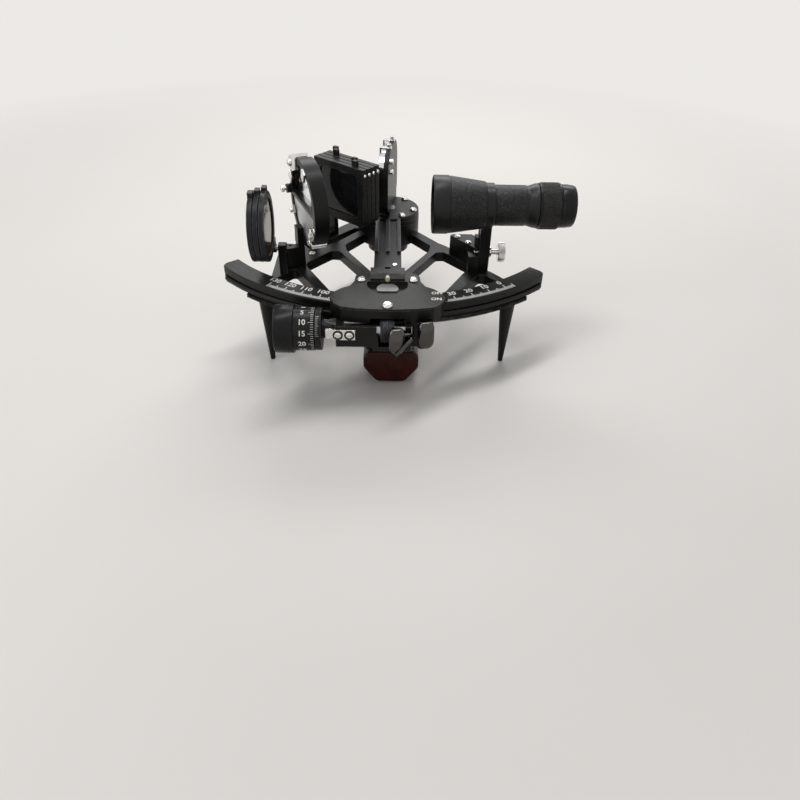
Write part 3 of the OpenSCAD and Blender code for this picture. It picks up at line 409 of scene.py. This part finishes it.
def lofted(stations, width, depth):
    """A lever's tongue: ovals strung down stations of (middle, breadth, thickness), 1 the full width."""
    bm = bmesh.new()
    rings = []
    for middle, broad, thick in stations:
        def oval(turn, middle=middle, broad=broad, thick=thick):
            c, s = math.cos(turn), math.sin(turn)
            x = math.copysign(abs(c) ** 0.75, c) * width / 2 * broad
            y = math.copysign(abs(s) ** 0.85, s) * depth / 2 * thick
            return Vector(middle) + Vector((x, y, 0))
        rings.append(ring_of(bm, 44, oval))
    skin(bm, rings)
    bm.faces.new(rings[0])
    bm.faces.new(list(reversed(rings[-1])))
    return mesh_of(bm, "tongue", ROUND_ANGLE)


def tongue(top, tip, steps=24):
    """Stations from a lever's root to its round tip."""
    top, tip = Vector(top), Vector(tip)
    tip_from, root_to, sag = 0.62, 0.2, 1.2
    stations = []
    for i in range(steps + 1):
        t = i / steps
        end = max(0.0, (t - tip_from) / (1 - tip_from))
        start = max(0.0, (root_to - t) / root_to)
        shrink = math.sqrt(max(0.0, 1 - end ** 2.2)) * (1 - 0.35 * start ** 2)
        bow = Vector((0, -sag * math.sin(math.pi * t), 0))
        stations.append((top.lerp(tip, t) + bow, max(shrink, 0.04), max(shrink, 0.06)))
    return stations


def joined(name, meshes, mat, body):
    """One piece made of several meshes."""
    bm = bmesh.new()
    for mesh in meshes:
        bm.from_mesh(mesh)
    return link(name, mesh_of(bm, name, ROUND_ANGLE, outward=False), mat, body)


def slab(corner, size, turn_y=0.0, about=(0, 0, 0), soft=0.8):
    """A plate with rounded edges, its low corner and size in millimetres, turned about Y."""
    bm = bmesh.new()
    bmesh.ops.create_cube(bm, size=1)
    turn = Matrix.Rotation(turn_y, 3, "Y")
    for v in bm.verts:
        spot = Vector([c + (p + 0.5) * q for c, p, q in zip(corner, v.co, size)])
        v.co = (Vector(about) + turn @ (spot - Vector(about))) * MM
    bmesh.ops.bevel(bm, geom=bm.edges[:], offset=soft * MM, segments=4, profile=0.5, affect="EDGES")
    return mesh_of(bm, "slab", outward=False)


def dressed(name, mat):
    obj = NODES[name]
    obj.data.materials.clear()
    obj.data.materials.append(mat)
    return obj


def knurl_rows(profile, band, cross):
    """The profile's points as (x, r), the band of a crossed knurl cut into short steps."""
    rows = []
    for (x0, r0), (x1, r1) in zip(profile, profile[1:]):
        knurled = band[0] <= min(x0, x1) and max(x0, x1) <= band[1] and abs(x1 - x0) > 0.5
        cuts = max(1, int(abs(x1 - x0) / KNURL_STEP)) if knurled and cross else 1
        rows += [(x0 + (x1 - x0) * c / cuts, r0 + (r1 - r0) * c / cuts) for c in range(cuts)]
    return rows + [profile[-1]]


def turned(name, profile, body, mat, centre, steps=160, teeth=0, depth=0.0, cross=False, band=(0, 0)):
    """A turned piece on an axis along X through centre (y, z), from a closed loop of (x, r) in millimetres.
    With depth, teeth are cut between the two places of band, crossed ones where cross is set."""
    pitch = FULL_TURN * max(r for x, r in profile) / max(teeth, 1)

    def wave(t):
        return 1 - abs(2 * (t % 1.0) - 1)

    def cut(x, share):
        if not (depth and band[0] <= x <= band[1]):
            return 0.0
        fade = min(1.0, (x - band[0]) / KNURL_FADE, (band[1] - x) / KNURL_FADE)
        if cross:
            along = x / pitch
            left, right = wave(share * teeth + along), wave(share * teeth - along)
            return max(0.0, depth * fade * (1 - min(left, right) * 1.4))
        return depth * fade * (1 - min(1.0, 1.5 * wave(share * teeth)))

    bm = bmesh.new()
    rings = []
    for x, r in knurl_rows(profile, band, cross):
        def spot(turn, x=x, r=r):
            q = r - cut(x, turn / FULL_TURN)
            return (x, centre[0] + q * math.cos(turn), centre[1] + q * math.sin(turn))
        rings.append(ring_of(bm, steps, spot))
    skin(bm, rings, looped=True)
    return link(name, mesh_of(bm, name, 28), mat, body)


def spun(name, profile, body, mat, origin, direction):
    """A small turned piece on any axis: profile is a closed loop of (radius, height) along direction."""
    turn_to = Vector((0, 0, 1)).rotation_difference(Vector(direction)).to_matrix()
    bm = bmesh.new()
    rings = []
    for r, h in profile:
        def spot(turn, r=r, h=h):
            return Vector(origin) + turn_to @ Vector((r * math.cos(turn), r * math.sin(turn), h))
        rings.append(ring_of(bm, 40, spot))
    skin(bm, rings, looped=True)
    return link(name, mesh_of(bm, name, 32), mat, body)


# How far a small added piece goes under the face it sits on
SINK = 0.2


def domed(r, h):
    """Profile of a domed head with a socket in its crown."""
    return [(0.02, -SINK), (r, -SINK), (r, h * 0.35), (r * 0.93, h * 0.62), (r * 0.75, h * 0.86),
            (r * 0.5, h), (r * 0.42, h * 0.97), (r * 0.38, h * 0.45), (0.02, h * 0.4)]


def bent_clip(name, body, mat, place_at, outline, width):
    """A bent strip: outline is its side view in (out, along), width its breadth across."""
    bm = bmesh.new()
    sides = []
    for v in (-width / 2, width / 2):
        sides.append([bm.verts.new(place_at(x, y, v) * MM) for x, y in outline])
    count = len(outline)
    bm.faces.new(sides[0])
    bm.faces.new(list(reversed(sides[1])))
    for i in range(count):
        j = (i + 1) % count
        bm.faces.new((sides[0][i], sides[1][i], sides[1][j], sides[0][j]))
    obj = link(name, mesh_of(bm, name), mat, body)
    edge = obj.modifiers.new("edge", "BEVEL")
    edge.width = 0.3 * MM
    edge.segments = 2
    applied(obj)
    smooth(obj.data, CORNER_ANGLE)
    return obj


# The built-in letters: height of a capital for a size of 1, and how much heavier the strokes are made
CAPITAL = 0.70
HEAVIER = 0.026


def letters(text, height, cuts=0):
    """The text as flat (points, faces), centred, its figures height tall; cuts is for bending it."""
    curve = bpy.data.curves.new("figures", "FONT")
    curve.body = text
    curve.align_x = "CENTER"
    curve.align_y = "CENTER"
    curve.size = height / CAPITAL
    curve.offset = height * HEAVIER
    curve.resolution_u = 3
    obj = bpy.data.objects.new("figures", curve)
    bpy.context.scene.collection.objects.link(obj)
    bpy.context.view_layer.update()
    graph = bpy.context.evaluated_depsgraph_get()
    mesh = bpy.data.meshes.new_from_object(obj.evaluated_get(graph), depsgraph=graph)
    bm = bmesh.new()
    bm.from_mesh(mesh)
    for i in range(1, cuts):
        everything = bm.verts[:] + bm.edges[:] + bm.faces[:]
        level = (0, height * (i / cuts - 0.5), 0)
        bmesh.ops.bisect_plane(bm, geom=everything, plane_co=level, plane_no=(0, 1, 0))
    bm.to_mesh(mesh)
    bm.free()
    points = [v.co.copy() for v in mesh.vertices]
    faces = [tuple(p.vertices) for p in mesh.polygons]
    bpy.data.objects.remove(obj)
    bpy.data.curves.remove(curve)
    bpy.data.meshes.remove(mesh)
    return points, faces


class Marks:
    """Engraved and filled marks gathered into one thin mesh."""

    def __init__(self):
        self.points = []
        self.faces = []

    def add(self, points, faces, where):
        start = len(self.points)
        self.points += [tuple(c * MM for c in where(p)) for p in points]
        self.faces += [tuple(i + start for i in f) for f in faces]

    def bar(self, x0, y0, x1, y1, where):
        self.add([Vector((x, y, 0)) for x in (x0, x1) for y in (y0, y1)], [(0, 2, 3, 1)], where)

    def finish(self, name, body, mat):
        mesh = bpy.data.meshes.new(name)
        mesh.from_pydata(self.points, [], self.faces)
        mesh.validate()
        return link(name, mesh, mat, body)


# Plain materials on the nodes that keep the CAD shape, and broken corners on those that are milled or cast
for name in ("frame", "handle_brackets", "horizon_mirror_base", "horizon_mirror_frame",
             "horizon_shade_bracket", "index_shade_bracket", "telescope_stand", "rising_piece", "index_arm",
             "arm_disc", "index_mirror_frame", "lamp_housing", "vernier_ring"):
    machined(name, CAST)
machined("swing_carriage", CAST, 0.12)
machined("housing_cover", PLATE)
for i in (1, 2, 3, 4):
    machined(f"index_shade_frame_{i}", CAST, 0.3)
for i in (1, 2, 3):
    machined(f"horizon_shade_frame_{i}", SHADE_RIM, 0.4)
for name in ("handle_grip", "handle_end_cap"):
    machined(name, GRIP, 0.8, 3, angle=12)
for name in ("bearing_plate", "frame_screws", "arm_screws", "horizon_mirror_clips", "index_mirror_clips"):
    machined(name, NICKEL, 0.15)
for name in ("leg_left", "leg_right", "leg_rear"):
    dressed(name, CAST)
for name, mat in (("toothed_rack", RACK), ("worm", STEEL), ("pivot_bush", BRASS), ("pivot_shaft", NICKEL),
                  ("horizon_shade_pin", NICKEL), ("index_shade_pin", NICKEL),
                  ("horizon_mirror_glass", CLEAR), ("horizon_mirror_backing", BACKING),
                  ("index_mirror_glass", SILVER), ("objective_lens", LENS), ("eyepiece_lens", LENS),
                  ("index_plate", INDEX_GREY), ("lamp_bulb", BULB), ("lamp_switch", TURNED)):
    dressed(name, mat)
for i, mat in ((1, AMBER), (2, GREEN), (3, BLUE), (4, NIGHT)):
    dressed(f"index_shade_glass_{i}", mat)
for i, mat in ((1, AMBER), (2, BLUE), (3, GREEN)):
    dressed(f"horizon_shade_glass_{i}", mat)

# Telescope: smooth hood, covered taper and body, each sleeve's edges rolled over. Profiles are (x, radius)
TELE = (TELE_Y, TELE_Z)
piece = turned("telescope_turned", [
    (32.3, 19.2), (32.3, 20.2), (32.5, 20.5), (32.9, 20.7), (33.3, 20.75), (43.2, 20.75), (43.5, 20.6),
    (43.6, 20.2), (44.2, 20.1), (44.35, 20.25), (44.7, 20.3), (69.6, 16.75), (69.9, 16.65), (70.1, 16.35),
    (70.5, 16.3), (70.7, 16.0), (70.9, 15.8), (76.3, 15.8), (76.6, 15.6), (76.8, 15.2), (76.9, 14.3),
    (77.5, 14.3), (77.6, 14.45), (77.9, 14.55), (99.3, 14.5), (99.6, 14.4), (99.8, 14.15), (101.6, 14.15),
    (101.8, 14.3), (102.0, 14.4), (106.2, 15.65), (106.5, 15.75), (108.2, 15.8), (108.5, 15.5),
    (108.5, 12.2), (123.6, 12.2), (123.6, 10.6), (98.0, 10.6), (96.0, 12.8), (70.5, 12.8), (51.5, 17.5),
    (45.5, 17.5), (45.5, 19.2)], "telescope", LEATHER, TELE)
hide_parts("telescope_tube")
piece = turned("focus_ring_knurled", [
    (108.8, 12.25), (108.8, 15.9), (109.1, 16.2), (110.1, 16.25), (110.4, 16.7), (123.0, 16.7),
    (123.3, 16.25), (124.3, 16.2), (124.6, 15.9), (124.6, 12.25)],
    "focus", KNURL, TELE, steps=64 * 6, teeth=64, depth=0.34, cross=True, band=(110.3, 123.1))
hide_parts("focus_ring")
piece = turned("eyepiece_cup_turned", [
    (111.0, 9.0), (111.0, 10.5), (125.0, 10.5), (125.0, 14.9), (125.25, 15.25), (125.7, 15.4),
    (129.2, 15.4), (133.6, 14.9), (134.9, 14.4), (135.5, 13.7), (135.7, 12.8), (135.6, 10.4), (135.0, 9.0),
    (133.3, 8.2), (128.0, 8.0), (128.0, 9.0)], "eyepiece", TURNED, TELE)
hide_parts("eyepiece_cup")

# Micrometer drum: a fine straight knurl on the knob, a plain dial with its marks
WORM = (WORM_Y, WORM_Z)
piece = turned("micrometer_drum_knurled", [
    (-47.3, 3.95), (-47.3, 13.9), (-47.5, 14.25), (-47.9, 14.4), (-60.6, 14.4), (-60.9, 14.55),
    (-61.0, 15.4), (-61.3, 15.9), (-61.8, 16.1), (-73.0, 16.1), (-73.5, 15.95), (-73.9, 15.5), (-74.0, 14.9),
    (-74.0, 12.5), (-73.8, 12.2), (-73.0, 12.1), (-73.0, 3.95)],
    "drum", KNURL, WORM, steps=96 * 6, teeth=96, depth=0.28, band=(-72.8, -62.0))
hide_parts("micrometer_drum")

# Thumb screw: thin shaft, collar and knurled head
piece = turned("thumb_screw_knurled", [
    (65.8, 0.05), (65.8, 1.7), (66.1, 2.0), (77.5, 2.0), (77.5, 3.9), (77.8, 4.2), (78.7, 4.2), (79.0, 3.9),
    (79.0, 2.0), (84.1, 2.0), (84.1, 6.7), (84.5, 7.2), (84.9, 7.4), (88.6, 7.4), (89.0, 7.2), (89.4, 6.7),
    (89.4, 4.6), (89.1, 4.3), (88.9, 4.2), (88.9, 0.05)],
    "thumb_screw", NICKEL, THUMB, steps=48 * 6, teeth=48, depth=0.4, band=(84.6, 88.9))
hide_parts("thumb_screw")

# Release levers: two plated tongues side by side, the moving one with its folded pull
LEVER = (10.6, 5.6)
PULL_LEAN = math.radians(-52)
piece = joined("fixed_lever_plated", [
    lofted(tongue((25.6, -174.9, 68.0), (25.6, -177.2, 48.9)), *LEVER),
    slab((21.2, -175.2, 65.2), (8.8, 5.0, 2.6))], CHROME, "arm")
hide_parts("fixed_lever")
piece = joined("moving_lever_plated", [
    lofted(tongue((6.4, -180.4, 66.0), (6.4, -183.6, 48.6)), *LEVER),
    slab((9.0, -180.5, 55.0), (7.0, 5.2, 7.0)),
    slab((5.8, -187.6, 48.4), (16.6, 6.6, 2.0), PULL_LEAN, (5.8, -182, 49.4), 0.7)], CHROME, "carriage")
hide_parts("moving_lever")

# Dark collars round the bearing plate's two screws
for i, x in enumerate((-32.3, -24.7)):
    collar = [(2.45, -SINK), (2.45, 0.8), (2.7, 1.0), (3.2, 0.9), (3.4, 0.6), (3.4, -SINK)]
    spun(f"bearing_collar_{i + 1}", collar, "carriage", TURNED, (x, -177.5, 58.8), (0, -1, 0))

# Horizon mirror: bent clips and adjusting screws on the back of its ring
MIRROR_TURN = math.radians(22)
RING_BACK = -6.0
CLIP_R = 29.4


def on_mirror(out, up, side):
    """A point from the mirror's middle: out along its normal, up, and sideways away from the telescope."""
    c, s = math.cos(MIRROR_TURN), math.sin(MIRROR_TURN)
    return Vector((MIRROR_X + out * c - side * s, TELE_Y + out * s + side * c, MIRROR_Z + up))


def on_rim(angle, radius, out=RING_BACK):
    """A point on the ring's back face: angle from straight up, growing away from the camera."""
    a = math.radians(angle)
    return on_mirror(out, radius * math.cos(a), radius * math.sin(a))


def clip_place(angle):
    c, s = math.cos(math.radians(angle)), math.sin(math.radians(angle))
    return lambda out, along, across: on_mirror(out, along * c - across * s, along * s + across * c)


MIRROR_BACK = on_mirror(0, 0, 0) - on_mirror(1, 0, 0)
LOW, HIGH = -136, 22
strip = [(-6.1, 24.0), (-7.3, 24.2), (-7.7, 26.0), (-7.7, 32.4), (-7.2, 33.3), (4.0, 33.3), (4.0, 32.0),
         (-6.1, 32.0)]
bent_clip("horizon_clip_low", "frame", NICKEL, clip_place(LOW), strip, 5.5)
strip = [(-6.1, 23.5), (-8.6, 23.8), (-9.4, 26.0), (-9.4, 33.4), (-8.6, 34.6), (3.0, 34.6), (3.0, 32.0),
         (-6.1, 32.0)]
bent_clip("horizon_clip_high", "frame", NICKEL, clip_place(HIGH), strip, 9.0)
block = [(0.02, -SINK), (3.4, -SINK), (3.4, 3.4), (3.0, 3.8), (0.02, 3.8)]
adjuster = [(0.02, 3.6), (1.3, 3.6), (1.3, 5.2), (2.3, 5.4), (2.5, 5.8), (2.5, 7.4), (2.2, 7.8), (0.9, 7.9),
            (0.8, 7.0), (0.02, 7.0)]
for name, profile, mat, spot in (
        ("horizon_clip_screw_high", domed(2.6, 2.6), NICKEL, on_rim(HIGH, CLIP_R, -9.4)),
        ("horizon_clip_screw_low", domed(2.1, 1.7), NICKEL, on_rim(LOW, CLIP_R, -7.7)),
        ("horizon_screw_near", domed(1.9, 1.6), NICKEL, on_rim(-108, 29.6)),
        ("horizon_adjuster_block", block, TURNED, on_rim(86, CLIP_R)),
        ("horizon_adjuster", adjuster, NICKEL, on_rim(86, CLIP_R))):
    spun(name, profile, "frame", mat, spot, MIRROR_BACK)

# Index shades: a small bright screw on the near end of each frame
SHADE_TURN = math.radians(230)
SHADE_FIRST, SHADE_PITCH = 46, 4.7
along = Vector((math.cos(SHADE_TURN), math.sin(SHADE_TURN), 0))
across = Vector((-math.sin(SHADE_TURN), math.cos(SHADE_TURN), 0))
for i in range(4):
    spot = along * (SHADE_FIRST + SHADE_PITCH * i) + across * 27.8 + Vector((0, 0, 123.4))
    spun(f"index_shade_screw_{i + 1}", domed(1.35, 1.1), f"index_shade_{i + 1}", NICKEL, spot, across)

# The arc's scale: one degree of reading is half a degree of arc. Marks float PROUD over their face
PROUD = 0.04
TICK_R, FIGURE_R = 157.2, 147.0
HALF_TICK = 0.36
MIDDLE_READING = 65


def on_arc(turn, radius):
    """Puts a flat drawing on the arc: x runs along the arc to the right, y towards the pivot."""
    a = math.radians(turn)

    def where(p):
        r = radius - p.y
        t = a + p.x / radius
        return (r * math.sin(t), -r * math.cos(t), DECK + PROUD + p.z)
    return where


scale = Marks()
for value in range(-5, 131):
    turn = (MIDDLE_READING - value) / 2
    length = 6.4 if value % 10 == 0 else 5.0 if value % 5 == 0 else 3.4
    scale.bar(-HALF_TICK, 0.4, HALF_TICK, length, on_arc(turn, TICK_R))
    if value % 10 == 0:
        scale.add(*letters(str(value), 4.3), on_arc(turn, FIGURE_R))
scale.finish("arc_scale_marks", "frame", WHITE)

# Switch lettering on the lamp housing's cover
COVER_TOP = 75.0
small = Marks()
for text, x, y in (("OFF", 33.6, -149.0), ("ON", 32.6, -157.0)):
    small.add(*letters(text, 3.2), lambda p, x=x, y=y: (x + p.x, y + p.y, COVER_TOP + PROUD + p.z))
small.finish("switch_lettering", "arm", WHITE)

# The drum's scale: a full turn is sixty minutes, numbered every five
DRUM_R, VERNIER_R = 14.42, 14.03
MINUTE = 6.0
ZERO_TURN = 108
HALF_LINE = 0.12


def on_drum(turn, x, radius=DRUM_R):
    """x runs along the drum's axis, y up its face at the given turn from level, on the viewer's side."""
    a = math.radians(turn)

    def where(p):
        t = a + p.y / radius
        return (x + p.x, WORM_Y - radius * math.cos(t), WORM_Z + radius * math.sin(t))
    return where


dial = Marks()
for minute in range(60):
    turn = ZERO_TURN - MINUTE * minute
    length = 3.6 if minute % 5 == 0 else 2.0
    dial.bar(-length, -HALF_LINE, 0, HALF_LINE, on_drum(turn, -47.7))
    if minute % 5 == 0:
        dial.add(*letters(str(minute), 3.6, cuts=8), on_drum(turn, -55.3))
dial.finish("drum_scale_marks", "drum", WHITE)

# The vernier beside the drum: ten parts as long as nine minutes
vernier = Marks()
for i in range(11):
    length = 2.6 if i % 5 == 0 else 1.8
    vernier.bar(0.4, -0.1, length, 0.1, on_drum(66 - 0.9 * MINUTE * i, -46.9, VERNIER_R))
vernier.finish("vernier_marks", "carriage", WHITE)


# Surroundings
def seen(tree):
    """1 for what the camera sees, also in a reflection or through glass."""
    rays = node(tree, "ShaderNodeLightPath")
    either = node(tree, "ShaderNodeMath", operation="MAXIMUM")
    wire(tree, rays.outputs["Is Camera Ray"], either.inputs[0])
    wire(tree, rays.outputs["Is Glossy Ray"], either.inputs[1])
    any_of = node(tree, "ShaderNodeMath", operation="MAXIMUM")
    wire(tree, either.outputs[0], any_of.inputs[0])
    wire(tree, rays.outputs["Is Transmission Ray"], any_of.inputs[1])
    return any_of.outputs[0]


# Floor: a grey surface near the object that fades to an even pale one from FADE_FROM to FADE_TO, in metres
FADE_FROM, FADE_TO = 0.38, 0.85
FLOOR_DARK, FLOOR_PALE = (0.80, 0.78, 0.75), (0.84, 0.82, 0.79)
bm = bmesh.new()
bmesh.ops.create_grid(bm, x_segments=1, y_segments=1, size=12)
floor = bpy.data.objects.new("floor", mesh_of(bm, "floor", outward=False))
bpy.context.scene.collection.objects.link(floor)
mat, tree, shader = material("pale_floor")
soft = noise(tree, 3, 2, 0.5)
wire(tree, ramp(tree, soft, [(0.2, FLOOR_DARK), (0.8, FLOOR_PALE)]), shader.inputs["Base Color"])
shader.inputs["Roughness"].default_value = 0.8
shader.inputs["Specular IOR Level"].default_value = 0.1
reach = node(tree, "ShaderNodeVectorMath", operation="LENGTH")
wire(tree, place(tree), reach.inputs[0])
far = node(tree, "ShaderNodeMath", operation="MULTIPLY")
wire(tree, spread(tree, reach.outputs["Value"], 0.0, 1.0, FADE_FROM, FADE_TO), far.inputs[0])
wire(tree, seen(tree), far.inputs[1])
pale = node(tree, "ShaderNodeEmission")
pale.inputs["Color"].default_value = (*FLOOR_PALE, 1.0)
pale.inputs["Strength"].default_value = 1.0
fade = node(tree, "ShaderNodeMixShader")
wire(tree, far.outputs[0], fade.inputs[0])
wire(tree, shader.outputs[0], fade.inputs[1])
wire(tree, pale.outputs[0], fade.inputs[2])
wire(tree, fade.outputs[0], tree.nodes["Material Output"].inputs["Surface"])
floor.data.materials.append(mat)

# World: a white studio for the camera and reflections, a level light for the surfaces
LEVEL_LIGHT, WHITE_LIGHT = 0.45, 0.92
world = bpy.data.worlds.new("studio")
bpy.context.scene.world = world
world.use_nodes = True
tree = world.node_tree
tree.nodes.clear()
out = node(tree, "ShaderNodeOutputWorld")
level = node(tree, "ShaderNodeBackground")
height = node(tree, "ShaderNodeSeparateXYZ")
wire(tree, node(tree, "ShaderNodeTexCoord").outputs["Generated"], height.inputs[0])
sky = [(0.0, (0.24, 0.24, 0.25)), (0.35, (0.50, 0.50, 0.50)), (1.0, (0.95, 0.94, 0.92))]
wire(tree, ramp(tree, spread(tree, height.outputs["Z"], 0.0, 1.0, -0.1, 1.0), sky), level.inputs["Color"])
level.inputs["Strength"].default_value = LEVEL_LIGHT
white = node(tree, "ShaderNodeBackground")
white.inputs["Color"].default_value = (1.0, 1.0, 1.0, 1.0)
white.inputs["Strength"].default_value = WHITE_LIGHT
choose = node(tree, "ShaderNodeMixShader")
wire(tree, seen(tree), choose.inputs[0])
wire(tree, level.outputs[0], choose.inputs[1])
wire(tree, white.outputs[0], choose.inputs[2])
wire(tree, choose.outputs[0], out.inputs["Surface"])


def lamp(name, size, power, where, to):
    """A soft box: size in metres, power in watts, where it is and the point it faces."""
    data = bpy.data.lights.new(name, "AREA")
    data.shape = "RECTANGLE"
    data.size = size[0]
    data.size_y = size[1]
    data.energy = power
    obj = bpy.data.objects.new(name, data)
    obj.location = where
    obj.rotation_euler = (Vector(to) - Vector(where)).to_track_quat("-Z", "Y").to_euler()
    bpy.context.scene.collection.objects.link(obj)


lamp("top_softbox", (1.0, 0.14), 5.0, (-0.05, -0.02, 1.1), (0, -0.08, 0.06))
lamp("left_softbox", (0.25, 0.6), 1.8, (-0.85, -0.55, 0.6), (0, -0.08, 0.07))
lamp("back_softbox", (1.0, 0.28), 4.5, (0.1, 0.8, 0.75), (0, -0.05, 0.08))

# Camera, as fitted to the photograph
PITCH = math.radians(37.7)
YAW = math.radians(1.4)
ROLL = math.radians(-1.36)
EYE = Vector((0.2, -556.0, 298.4))
LENS_MM, SENSOR_MM = 30.65, 36.0
ahead = Vector((math.sin(YAW) * math.cos(PITCH), math.cos(YAW) * math.cos(PITCH), -math.sin(PITCH)))
right = Vector((math.cos(YAW), -math.sin(YAW), 0))
down = ahead.cross(right)
right_2 = right * math.cos(ROLL) + down * math.sin(ROLL)
down_2 = -right * math.sin(ROLL) + down * math.cos(ROLL)
data = bpy.data.cameras.new("camera")
data.lens = LENS_MM
data.sensor_width = SENSOR_MM
data.clip_start = 0.01
camera = bpy.data.objects.new("camera", data)
facing = Matrix((right_2, -down_2, -ahead)).transposed().to_4x4()
camera.matrix_world = Matrix.Translation(EYE * MM) @ facing
bpy.context.scene.collection.objects.link(camera)
bpy.context.scene.camera = camera
bpy.context.scene.view_settings.view_transform = "Standard"
